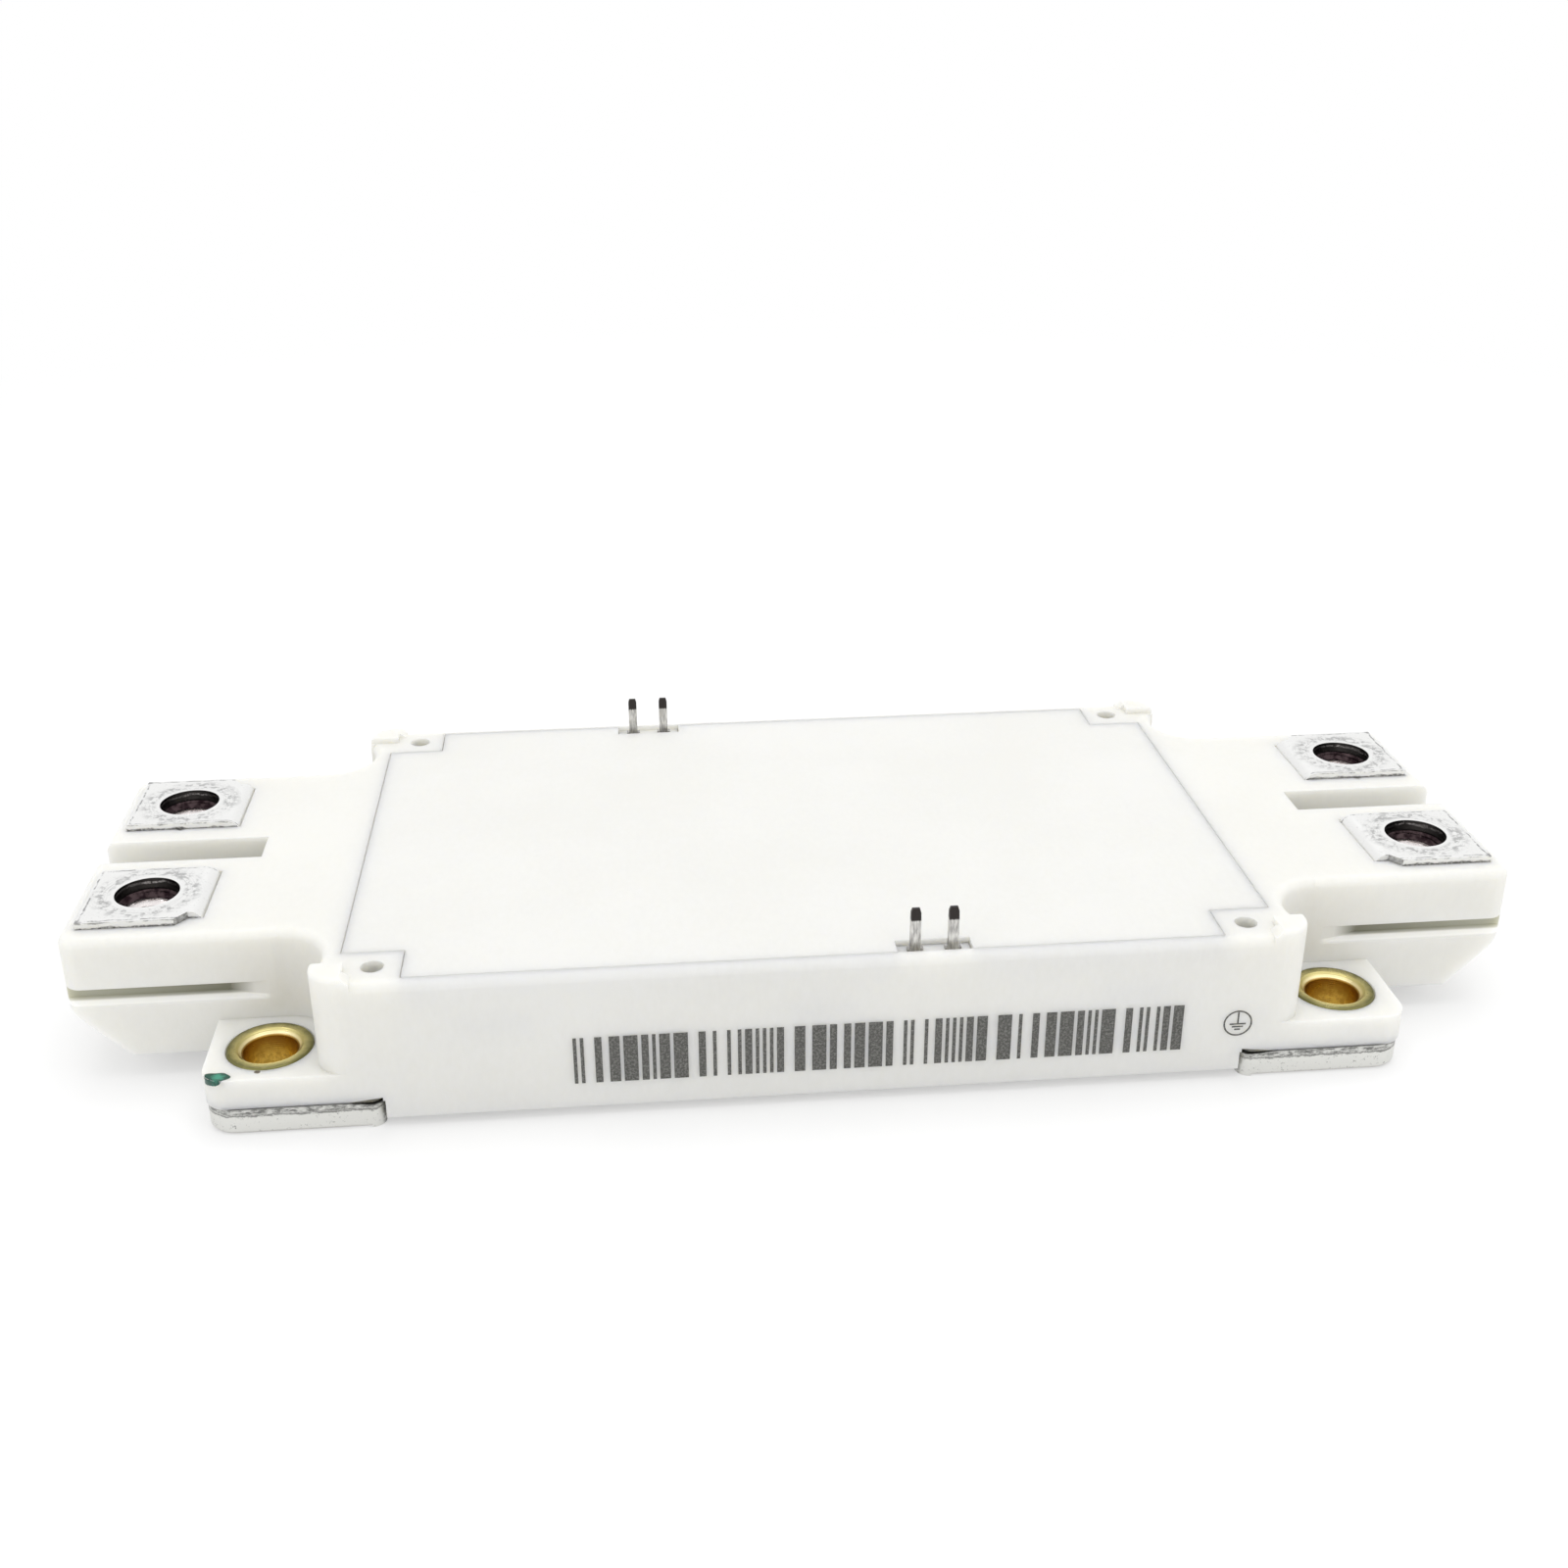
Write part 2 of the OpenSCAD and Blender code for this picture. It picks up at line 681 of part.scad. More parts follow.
// Pocket in the lid's edge round a pair of pins, drawn on the front side.
module pin_pocket(x) {
  span([x - pocket_w / 2, -lid_y - eps, ledge_z - eps], [x + pocket_w / 2, -lid_y + pocket_d, rim_z + eps]);
}

module lid() {
  reach = board_d / 2 + board_wall + slip;
  rib_y = 12;
  color("ivory") {
    difference() {
      span([-lid_x + slip, -lid_y + slip, ledge_z], [lid_x - slip, lid_y - slip, rim_z]);
      all_corners() span([board_x - reach, board_y - reach, ledge_z - eps], [big, big, rim_z + eps]);
      pin_pocket(front_pair_x);
      mirror([0, 1, 0]) pin_pocket(rear_pair_x);
    }
    both([0, 1, 0]) {
      span([-room_x + 4, rib_y - rib_w / 2, ledge_z - rib_h], [room_x - 4, rib_y + rib_w / 2, ledge_z + lid_t / 2]);
      for (x = [-hook_place, 0, hook_place]) hook(x);
    }
  }
}

// ---- Terminals: punched and bent copper strips, plated ----

// Quarter bend of the strip about (x, z), starting at an angle from +X to +Z.
module bend(x, z, from, y0, y1) {
  translate([x, y1, z]) rotate([90, 0, 0]) rotate([0, 0, from]) rotate_extrude(angle = 90)
    translate([bend_r, 0]) square([strip_t, y1 - y0]);
}

// Tab, leg and run of a terminal as far as the body, rear right corner.
module terminal_lead() {
  low_bend_x = leg_x - bend_r;
  low_bend_z = run_z + strip_t + bend_r;
  difference() {
    translate([0, 0, tab_z]) linear_extrude(strip_t) polygon([
      [top_bend_x, lead_y0],
      [tab_end_x, lead_y0],
      [tab_end_x, tab_y1],
      [top_bend_x + tab_cut, tab_y1],
      [top_bend_x, lead_y1],
    ]);
    translate([term_x, term_y, 0]) cylinder(d = tab_hole_d, h = big);
  }
  bend(top_bend_x, tab_z - bend_r, 90, lead_y0, lead_y1);
  span([leg_x, lead_y0, low_bend_z], [leg_x + strip_t, lead_y1, tab_z - bend_r]);
  bend(low_bend_x, low_bend_z, -90, lead_y0, lead_y1);
  span([room_x - 2, lead_y0, run_z], [low_bend_x, lead_y1, run_z + strip_t]);
}

// Part of a right-hand terminal inside the body: a blade along the end wall
// from blade_y[0] to blade_y[1], and a foot on the copper between foot_y's.
module terminal_foot(blade_y, foot_y) {
  leg_bend_x = foot_x1 + 2 * bend_r + strip_t;
  span([leg_bend_x, blade_y[0], run_z], [room_x - slip, blade_y[1], run_z + strip_t]);
  bend(leg_bend_x, run_z - bend_r, 90, foot_y[0], foot_y[1]);
  span([leg_bend_x - bend_r - strip_t, foot_y[0], island_z + strip_t + bend_r],
       [leg_bend_x - bend_r, foot_y[1], run_z - bend_r]);
  bend(foot_x1, island_z + strip_t + bend_r, -90, foot_y[0], foot_y[1]);
  span([foot_x0, foot_y[0], island_z], [foot_x1, foot_y[1], island_z + strip_t]);
}

foot_inset = 0.5;
minus_foot_y = [minus_y[0] + foot_inset, minus_y[1] - foot_inset];
plus_foot_y = [plus_y[0] + foot_inset, plus_y[1] - foot_inset];
phase_foot_w = 6;
front_phase_foot_y = [phase_y[0] + foot_inset, phase_y[0] + foot_inset + phase_foot_w];
rear_phase_foot_y = [phase_y[1] - foot_inset - phase_foot_w, phase_y[1] - foot_inset];

module terminal(side_x, lead_side, foot_y) {
  lead = lead_side == REAR ? [lead_y0, lead_y1] : [-lead_y1, -lead_y0];
  blade = [min(lead[0], foot_y[0]), max(lead[1], foot_y[1])];
  color("lightgray") mirror([side_x == LEFT ? 1 : 0, 0, 0]) {
    mirror([0, lead_side == FRONT ? 1 : 0, 0]) terminal_lead();
    terminal_foot(blade, foot_y);
  }
}

// ---- Nuts: loose hexagon nuts under the tabs ----

module nut(side_x, side_y_sign) {
  corner_r = nut_af / 2 / cos(30);
  chamfer_r = nut_af / 2 - 0.1;
  chamfer_h = (corner_r - chamfer_r) * tan(30);
  sink = 0.6;
  color("gainsboro") translate([side_x * term_x, side_y_sign * term_y, nut_z]) difference() {
    intersection() {
      rotate([0, 0, 30]) cylinder(r = corner_r, h = nut_h, $fn = 6);
      rotate_extrude() polygon([
        [0, 0],
        [chamfer_r, 0],
        [corner_r, chamfer_h],
        [corner_r, nut_h - chamfer_h],
        [chamfer_r, nut_h],
        [0, nut_h],
      ]);
    }
    translate([0, 0, -eps]) cylinder(d = nut_bore_d, h = nut_h + 2 * eps);
    translate([0, 0, nut_h - sink]) cylinder(d1 = nut_bore_d, d2 = nut_bore_d + 2 * sink, h = sink + 0.001);
    translate([0, 0, -0.001]) cylinder(d1 = nut_bore_d + 2 * sink, d2 = nut_bore_d, h = sink + 0.001);
  }
}

// ---- Signal pins: punched blades with a shoulder and a bonded foot ----

// Pin drawn on the front side at its own X.
module pin_shape(x, grow) {
  half_w = pin_w / 2 + grow;
  half_t = pin_t / 2 + grow;
  translate([x, -pin_y, 0]) {
    span([-half_w, -half_t, shelf_z], [half_w, half_t, pin_z - pin_tip]);
    span([-half_w, -half_t, shelf_z], [half_w, half_t + foot_l, shelf_z + pin_t + grow]);
  }
}

module signal_pin(x, row) {
  half_w = pin_w / 2;
  half_t = pin_t / 2;
  side_point = 0.75;
  side_tip = pin_tip * 0.3;
  point = 0.4;
  color("lightgray") mirror([0, row == REAR ? 1 : 0, 0]) {
    pin_shape(x, 0);
    translate([x, -pin_y, 0]) {
      span([-half_w - pin_shoulder, -half_t, pocket_z], [half_w + pin_shoulder, half_t, shoulder_z]);
      intersection() {
        rotate([90, 0, 0]) linear_extrude(pin_t, center = true) polygon([
          [-half_w, pin_z - pin_tip],
          [half_w, pin_z - pin_tip],
          [half_w, pin_z - side_tip],
          [half_w * side_point, pin_z],
          [-half_w * side_point, pin_z],
          [-half_w, pin_z - side_tip],
        ]);
        rotate([90, 0, 90]) linear_extrude(pin_w, center = true) polygon([
          [-half_t, pin_z - pin_tip],
          [half_t, pin_z - pin_tip],
          [half_t * point, pin_z],
          [-half_t * point, pin_z],
        ]);
      }
    }
  }
}

front_pins = [front_pair_x - pin_pitch / 2, front_pair_x + pin_pitch / 2];
rear_pins = [rear_pair_x - pin_pitch / 2, rear_pair_x + pin_pitch / 2];

module pin_holes() {
  pin_fit = 0.02;
  for (x = front_pins) pin_shape(x, pin_fit);
  mirror([0, 1, 0]) for (x = rear_pins) pin_shape(x, pin_fit);
}

// ---- Power circuit: soldered substrates, chips and wires ----

// Box as large as a substrate, number -1, 0 or 1, less an edge.
module on_substrate(number, edge, z0, z1) {
  x = number * sub_pitch;
  span([x - sub_w / 2 + edge, -sub_l / 2 + edge, z0], [x + sub_w / 2 - edge, sub_l / 2 - edge, z1]);
}

module plate_solder() {
  color("darkgray") for (n = [-1:1]) on_substrate(n, bare_edge, solder_z, bottom_copper_z);
}

module bottom_copper(number) {
  color("peru") on_substrate(number, bare_edge, bottom_copper_z, ceramic_z);
}

module ceramic(number) {
  color("white") on_substrate(number, 0, ceramic_z, top_copper_z);
}

module top_copper(number) {
  half = sub_w / 2 - bare_edge;
  x = number * sub_pitch;
  color("peru") for (y = [low_gate_y, minus_y, phase_y, plus_y, high_gate_y])
    span([x - half, y[0], top_copper_z], [x + half, y[1], island_z]);
}

// X of every column of chips: two on each substrate, off the terminals' feet.
columns = [for (n = [-1:1], side = [-1, 1])
  n * sub_pitch - n * column_shift + side * column_dx / 2];

module chips(width, rows) {
  for (x = columns, y = rows)
    span([x - width / 2, y - width / 2, island_z], [x + width / 2, y + width / 2, chip_z]);
}

module igbt_chips() {
  color("dimgray") chips(igbt_w, [low_igbt_y, high_igbt_y]);
}

module diode_chips() {
  color("gray") chips(diode_w, [low_diode_y, high_diode_y]);
}

// Rise of a wire over its span, lower on a short one, and the arch's radius.
function arch_rise(chord) = min(wire_rise, 0.35 * chord);
function arch_r(chord, rise) = (chord * chord / 4 + rise * rise) / (2 * rise);

wire_lift = wire_d / 2;
bond_l = 1;
bond_h = 0.3;

// Bond wire at x from (y0, z0) to (y1, z1), with a flat bond at each end.
module wire(x, y0, z0, y1, z1) {
  chord = norm([y1 - y0, z1 - z0]);
  rise = arch_rise(chord);
  r = arch_r(chord, rise);
  half_angle = asin(chord / 2 / r);
  tilt = atan2((z1 - z0) * sign(y1 - y0), abs(y1 - y0));
  translate([x, (y0 + y1) / 2, (z0 + z1) / 2 + wire_lift])
    rotate([tilt, 0, 0]) translate([0, 0, rise - r]) rotate([90, 0, 90])
      rotate([0, 0, 90 - half_angle]) rotate_extrude(angle = 2 * half_angle)
        translate([r, 0]) rotate(22.5) circle(d = wire_d, $fn = 8);
  for (end = [[y0, z0], [y1, z1]])
    span([x - wire_d / 2, end[0] - bond_l / 2, end[1]], [x + wire_d / 2, end[0] + bond_l / 2, end[1] + bond_h]);
}

// Slot that keeps the gel clear of one bond wire.
module wire_room(x, y0, z0, y1, z1) {
  clear = 0.1;
  z = min(z0, z1);
  span([x - wire_d / 2 - clear, min(y0, y1) - bond_l / 2 - clear, z],
       [x + wire_d / 2 + clear, max(y0, y1) + bond_l / 2 + clear, max(z0, z1) + wire_lift + wire_rise + wire_lift + clear]);
}

// Every wire as [x, y0, z0, y1, z1].
wire_dx = 1.6;
power_wires = [for (x = columns, i = [-1, 1]) each [
  [x + i * wire_dx, low_igbt_y - 2, chip_z, (minus_y[0] + minus_y[1]) / 2, island_z],
  [x + i * wire_dx, low_diode_y, chip_z, low_igbt_y + 1.5, chip_z],
  [x + i * wire_dx, high_igbt_y - 1, chip_z, phase_y[1] - chip_gap / 2, island_z],
  [x + i * wire_dx, high_diode_y, chip_z, high_igbt_y + 1.5, chip_z],
]];
gate_dx = igbt_w / 2 - 0.5;
gate_wires = [for (x = columns) each [
  [x + gate_dx, low_igbt_y - igbt_w / 2 + 1, chip_z, (low_gate_y[0] + low_gate_y[1]) / 2, island_z],
  [x + gate_dx, high_igbt_y + igbt_w / 2 - 1, chip_z, (high_gate_y[0] + high_gate_y[1]) / 2, island_z],
]];
foot_z = shelf_z + pin_t;
pin_bond_y = pin_y - pin_t / 2 - foot_l + 0.7;
pin_wires = concat(
  [for (x = front_pins) [x, -pin_bond_y, foot_z, (low_gate_y[0] + low_gate_y[1]) / 2, island_z]],
  [for (x = rear_pins) [x, pin_bond_y, foot_z, (high_gate_y[0] + high_gate_y[1]) / 2, island_z]]
);
wires = concat(power_wires, gate_wires, pin_wires);

module bond_wires() {
  color("whitesmoke") for (w = wires) wire(w[0], w[1], w[2], w[3], w[4]);
}

// ---- Gel: silicone poured over the circuit ----

// Room in the gel for a terminal's foot and leg, on the right-hand side.
module foot_room(foot_y) {
  c = slip;
  span([foot_x0 - c, foot_y[0] - c, island_z], [foot_x1 + 2 * bend_r + strip_t + c, foot_y[1] + c, gel_z + eps]);
}

// Room in the gel over the shelf that carries a pair of pins.
module carrier_room(x) {
  c = slip;
  span([x - carrier_w / 2 - c, -big, plate_t - eps], [x + carrier_w / 2 + c, -shelf_y + c, gel_z + eps]);
}

module silicone_gel() {
  c = slip;
  color("honeydew", 0.6) difference() {
    span([-room_x + c, -room_y + c, plate_t], [room_x - c, room_y - c, gel_z]);
    foot_room(front_phase_foot_y);
    foot_room(rear_phase_foot_y);
    mirror([1, 0, 0]) {
      foot_room(minus_foot_y);
      foot_room(plus_foot_y);
    }
    carrier_room(front_pair_x);
    mirror([0, 1, 0]) carrier_room(rear_pair_x);
    all_corners() translate([-c, -c, -c]) board_boss(big);
    for (n = [-1:1]) on_substrate(n, 0, plate_t - eps, island_z);
    chips(igbt_w, [low_igbt_y, high_igbt_y]);
    chips(diode_w, [low_diode_y, high_diode_y]);
    for (w = wires) wire_room(w[0], w[1], w[2], w[3], w[4]);
  }
}

baseplate();
housing_frame();
lid();
bushing(LEFT, FRONT);  // bushing_front_left
bushing(RIGHT, FRONT);  // bushing_front_right
bushing(LEFT, REAR);  // bushing_rear_left
bushing(RIGHT, REAR);  // bushing_rear_right
terminal(LEFT, FRONT, minus_foot_y);  // terminal_dc_minus
terminal(LEFT, REAR, plus_foot_y);  // terminal_dc_plus
terminal(RIGHT, FRONT, front_phase_foot_y);  // terminal_ac_front
terminal(RIGHT, REAR, rear_phase_foot_y);  // terminal_ac_rear
nut(LEFT, FRONT);  // nut_front_left
nut(RIGHT, FRONT);  // nut_front_right
nut(LEFT, REAR);  // nut_rear_left
nut(RIGHT, REAR);  // nut_rear_right
signal_pin(front_pins[0], FRONT);  // pin_low_gate
signal_pin(front_pins[1], FRONT);  // pin_low_emitter
signal_pin(rear_pins[0], REAR);  // pin_high_gate
signal_pin(rear_pins[1], REAR);  // pin_high_emitter
ceramic(-1);  // ceramic_left
ceramic(0);  // ceramic_middle
ceramic(1);  // ceramic_right
top_copper(-1);  // top_copper_left
top_copper(0);  // top_copper_middle
top_copper(1);  // top_copper_right
bottom_copper(-1);  // bottom_copper_left
bottom_copper(0);  // bottom_copper_middle
bottom_copper(1);  // bottom_copper_right
plate_solder();
igbt_chips();
diode_chips();
bond_wires();
silicone_gel();
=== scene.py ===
import json
import math

import bpy
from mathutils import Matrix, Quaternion, Vector


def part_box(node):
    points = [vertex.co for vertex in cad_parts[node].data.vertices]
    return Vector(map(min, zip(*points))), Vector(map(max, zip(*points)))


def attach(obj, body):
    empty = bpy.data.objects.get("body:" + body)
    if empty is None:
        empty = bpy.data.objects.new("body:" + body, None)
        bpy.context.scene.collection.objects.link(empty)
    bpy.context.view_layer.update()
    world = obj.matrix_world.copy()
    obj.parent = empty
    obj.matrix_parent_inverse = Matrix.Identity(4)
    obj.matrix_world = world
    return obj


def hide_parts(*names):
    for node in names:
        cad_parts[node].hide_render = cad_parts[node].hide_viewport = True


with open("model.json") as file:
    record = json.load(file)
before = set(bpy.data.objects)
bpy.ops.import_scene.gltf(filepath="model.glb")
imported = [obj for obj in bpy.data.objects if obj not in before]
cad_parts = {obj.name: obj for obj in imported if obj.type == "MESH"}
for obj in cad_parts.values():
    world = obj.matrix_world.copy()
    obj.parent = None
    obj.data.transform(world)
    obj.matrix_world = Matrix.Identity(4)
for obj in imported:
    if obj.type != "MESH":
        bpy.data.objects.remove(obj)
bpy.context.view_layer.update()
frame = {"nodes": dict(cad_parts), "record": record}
parts = frame["nodes"]

# ---- Baseplate ----
# The heat spreader is a stamped copper plate with satin nickel plating. Its cut edge is bright below
# and torn and speckled towards the top, where the punch left the metal.

MM = 0.001


def finish(name):
    """A new material and its shader."""
    made = bpy.data.materials.new(name)
    made.use_nodes = True
    return made, made.node_tree.nodes["Principled BSDF"]


def add(material, kind, feeds, **settings):
    """A node of that kind, with its settings made and its inputs fed."""
    node = material.node_tree.nodes.new(kind)
    for name, value in settings.items():
        setattr(node, name, value)
    for socket, value in feeds.items():
        if isinstance(value, bpy.types.NodeSocket):
            material.node_tree.links.new(value, node.inputs[socket])
        else:
            node.inputs[socket].default_value = value
    return node


def in_mm(material, stretch=(1, 1, 1)):
    """The place on the part in millimetres, stretched along each axis."""
    place = add(material, "ShaderNodeTexCoord", {}).outputs["Object"]
    scale = tuple(s / MM for s in stretch)
    return add(material, "ShaderNodeVectorMath", {0: place, 1: scale}, operation="MULTIPLY").outputs[0]


def grain(material, place, scale, detail=3.0, roughness=0.5):
    """Noise from 0 to 1 with that many cells to a millimetre."""
    feeds = {"Vector": place, "Scale": scale, "Detail": detail, "Roughness": roughness}
    return add(material, "ShaderNodeTexNoise", feeds).outputs["Fac"]


def ramp(material, value, low, high, start=0.0, end=1.0):
    """Start where the value is low or less, end where it is high or more."""
    feeds = {"Value": value, "From Min": low, "From Max": high, "To Min": start, "To Max": end}
    return add(material, "ShaderNodeMapRange", feeds, clamp=True).outputs["Result"]


def calc(material, operation, a, b=0.0):
    """One step of arithmetic on one or two values."""
    return add(material, "ShaderNodeMath", {0: a, 1: b}, operation=operation).outputs[0]


def chain(material, operation, values):
    """The same step taken through a row of values."""
    result = values[0]
    for value in values[1:]:
        result = calc(material, operation, result, value)
    return result


def plus(material, *values):
    return chain(material, "ADD", values)


def times(material, *values):
    return chain(material, "MULTIPLY", values)


def most(material, *values):
    """The greatest of the values."""
    return chain(material, "MAXIMUM", values)


def off(material, value, level):
    """How far a value is off a level, up or down."""
    return calc(material, "ABSOLUTE", calc(material, "SUBTRACT", value, level))


def tint(material, amount, first, second):
    """First colour at 0 and second colour at 1."""
    feeds = {0: amount, 6: first, 7: second}
    return add(material, "ShaderNodeMix", feeds, data_type="RGBA").outputs[2]


def rgb(r, g, b):
    return (r, g, b, 1.0)


def emboss(material, shader, height, depth, strength=1.0):
    """Bump of the given depth in millimetres."""
    feeds = {"Height": height, "Distance": depth * MM, "Strength": strength}
    bump = add(material, "ShaderNodeBump", feeds)
    material.node_tree.links.new(bump.outputs["Normal"], shader.inputs["Normal"])


def feed(material, shader, **sockets):
    """Links computed values to the shader's own sockets."""
    for name, value in sockets.items():
        material.node_tree.links.new(value, shader.inputs[name.replace("_", " ")])


def axis_value(material, vector, axis):
    return add(material, "ShaderNodeSeparateXYZ", {0: vector}).outputs[axis]


def facing(material, axis):
    """How much the surface faces along an axis, from 0 to 1."""
    normal = add(material, "ShaderNodeNewGeometry", {}).outputs["Normal"]
    return calc(material, "ABSOLUTE", axis_value(material, normal, axis))


def dress(names, material):
    """Gives the material to every slot of the named parts."""
    for name in names:
        for slot in parts[name].material_slots:
            slot.material = material


plate_lo, plate_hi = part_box("baseplate")
plate_mm = (plate_hi.z - plate_lo.z) / MM
lug_mm = 43.5

nickel, shader = finish("satin_nickel")
shader.inputs["Metallic"].default_value = 1.0
place = in_mm(nickel)
cloud = grain(nickel, place, 0.12)
rolled = grain(nickel, in_mm(nickel, (0.03, 1.6, 1.6)), 2.0, 4.0)
speck = grain(nickel, place, 2.4, 5.0, 0.7)
tear = grain(nickel, in_mm(nickel, (0.8, 0.8, 2.2)), 1.5, 5.0, 0.7)
face_tone = tint(nickel, ramp(nickel, cloud, 0.35, 0.65), rgb(0.56, 0.55, 0.52), rgb(0.66, 0.65, 0.62))
# Torn band along the top of the cut edge, patchy, with a dark line over it and a scar along its foot
height = axis_value(nickel, place, "Z")
torn = ramp(nickel, plus(nickel, height, times(nickel, speck, 1.1)), plate_mm - 0.5, plate_mm - 0.1)
patchy = times(nickel, torn, ramp(nickel, tear, 0.42, 0.58, 0.15, 0.85))
lip = ramp(nickel, height, plate_mm - 0.25, plate_mm - 0.08, 0.0, 0.9)
drift = plus(nickel, height, times(nickel, tear, 0.9))
scar = ramp(nickel, off(nickel, drift, plate_mm - 0.42), 0.13, 0.05, 0.0, 0.75)
# The punch also tore the inner end of each lug
across = calc(nickel, "ABSOLUTE", axis_value(nickel, place, "X"))
step = plus(nickel, across, times(nickel, speck, 0.6))
end_tear = times(nickel, ramp(nickel, step, lug_mm + 0.64, lug_mm + 0.40), ramp(nickel, speck, 0.44, 0.54, 0.2, 0.9))
pits = times(nickel, ramp(nickel, speck, 0.60, 0.68), 0.6)
worn = most(nickel, patchy, lip, pits, scar, end_tear)
edge_tone = tint(nickel, worn, rgb(0.74, 0.74, 0.71), rgb(0.10, 0.10, 0.095))
# The plastic stands off a little there; the gap over the plate, widest by each lug's inner end, is painted black as
# its shadow
gap = plus(nickel, height, ramp(nickel, across, lug_mm + 4.2, lug_mm + 0.8, 0.0, 0.34))
painted_gap_shade = ramp(nickel, gap, plate_mm - 0.06, plate_mm - 0.02)
edge_tone = tint(nickel, painted_gap_shade, edge_tone, rgb(0.015, 0.015, 0.013))
on_edge = ramp(nickel, facing(nickel, "Z"), 0.6, 0.3)
feed(nickel, shader, Base_Color=tint(nickel, on_edge, face_tone, edge_tone),
     Roughness=ramp(nickel, rolled, 0.3, 0.7, 0.30, 0.46))
emboss(nickel, shader, plus(nickel, rolled, times(nickel, speck, 0.6)), 0.03, 0.5)
dress(["baseplate"], nickel)

# ---- Substrates ----
# Three fired ceramic tiles carry copper on both faces and are soldered to the baseplate. The copper on
# top is etched into strips for the gates, for minus, for the output and for plus.

tiles = ("left", "middle", "right")

fired, shader = finish("fired_ceramic")
shader.inputs["Roughness"].default_value = 0.5
place = in_mm(fired)
fired_tone = tint(fired, grain(fired, place, 3.0), rgb(0.80, 0.80, 0.77), rgb(0.88, 0.88, 0.86))
feed(fired, shader, Base_Color=fired_tone)
emboss(fired, shader, grain(fired, place, 12.0), 0.005, 0.5)
dress(["ceramic_" + tile for tile in tiles], fired)

bare_copper, shader = finish("bare_copper")
shader.inputs["Metallic"].default_value = 1.0
place = in_mm(bare_copper)
stain = ramp(bare_copper, grain(bare_copper, place, 0.25, 5.0), 0.4, 0.7)
feed(bare_copper, shader, Base_Color=tint(bare_copper, stain, rgb(0.80, 0.40, 0.26), rgb(0.52, 0.25, 0.17)),
     Roughness=ramp(bare_copper, stain, 0.0, 1.0, 0.28, 0.5))
emboss(bare_copper, shader, grain(bare_copper, in_mm(bare_copper, (0.1, 3, 3)), 3.0), 0.008, 0.5)
dress([side + tile for side in ("top_copper_", "bottom_copper_") for tile in tiles], bare_copper)

solder, shader = finish("solder")
shader.inputs["Metallic"].default_value = 1.0
place = in_mm(solder)
solder_tone = tint(solder, grain(solder, place, 1.2, 6.0), rgb(0.42, 0.42, 0.43), rgb(0.62, 0.62, 0.62))
feed(solder, shader, Base_Color=solder_tone,
     Roughness=ramp(solder, grain(solder, place, 2.0), 0.3, 0.7, 0.3, 0.55))
dress(["plate_solder"], solder)

# ---- Chips and bond wires ----
# Thin silicon chips with a metal face are soldered on the copper. Drawn aluminium wires, pressed on with
# ultrasound, lead from their faces to the next strip.

silicon, shader = finish("metallised_silicon")
shader.inputs["Metallic"].default_value = 0.9
place = in_mm(silicon)
cells = add(silicon, "ShaderNodeTexBrick",
            {"Vector": place, "Scale": 1.0, "Brick Width": 1.5, "Row Height": 3.0, "Mortar Size": 0.03,
             "Color1": rgb(0.30, 0.31, 0.33), "Color2": rgb(0.27, 0.28, 0.30), "Mortar": rgb(0.12, 0.12, 0.13)})
feed(silicon, shader, Base_Color=cells.outputs["Color"],
     Roughness=ramp(silicon, grain(silicon, place, 6.0), 0.3, 0.7, 0.2, 0.35))
dress(["igbt_chips", "diode_chips"], silicon)

drawn_wire, shader = finish("drawn_aluminium")
shader.inputs["Metallic"].default_value = 1.0
place = in_mm(drawn_wire)
wire_tone = tint(drawn_wire, grain(drawn_wire, place, 5.0), rgb(0.70, 0.70, 0.71), rgb(0.85, 0.85, 0.86))
feed(drawn_wire, shader, Base_Color=wire_tone,
     Roughness=ramp(drawn_wire, grain(drawn_wire, place, 9.0), 0.3, 0.7, 0.25, 0.4))
dress(["bond_wires"], drawn_wire)

# ---- Gel ----
# Clear silicone is poured over the circuit and cures to a soft gel that keeps moisture and sparks away.
# It is slightly cloudy, and its surface is not quite even.

gel, shader = finish("silicone_gel")
shader.inputs["Transmission Weight"].default_value = 0.7
shader.inputs["IOR"].default_value = 1.41
place = in_mm(gel)
haze = grain(gel, place, 0.2, 4.0)
feed(gel, shader, Base_Color=tint(gel, haze, rgb(0.86, 0.89, 0.86), rgb(0.95, 0.96, 0.94)),
     Roughness=ramp(gel, haze, 0.3, 0.7, 0.08, 0.2))
emboss(gel, shader, grain(gel, place, 0.6), 0.02, 0.3)
dress(["silicone_gel"], gel)

# ---- Bushings ----
# Turned brass sleeves line the four mounting holes, their flange on the ear and their foot flared under
# the plate. The turning tool left fine rings, and the bore has dulled to amber.

corners = ("front_left", "front_right", "rear_left", "rear_right")


def hole_centre(name):
    """Middle of a part in plan, on the positive side of both axes, in millimetres."""
    low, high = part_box(name)
    middle = (low + high) / 2
    return abs(middle.x) / MM, abs(middle.y) / MM


def mirrored(material, vector):
    """The vector with both ends and both sides of the part laid over each other."""
    return add(material, "ShaderNodeVectorMath", {0: vector}, operation="ABSOLUTE").outputs[0]


def away_from(material, vector, point):
    """The vector as seen from a fixed point."""
    return add(material, "ShaderNodeVectorMath", {0: vector, 1: point}, operation="SUBTRACT").outputs[0]


def from_centre(material, centre):
    """Vector in plan from the nearest of the four like centres, in millimetres."""
    feeds = {0: mirrored(material, in_mm(material)), 1: (1, 1, 0)}
    flat = add(material, "ShaderNodeVectorMath", feeds, operation="MULTIPLY").outputs[0]
    return away_from(material, flat, (centre[0], centre[1], 0))


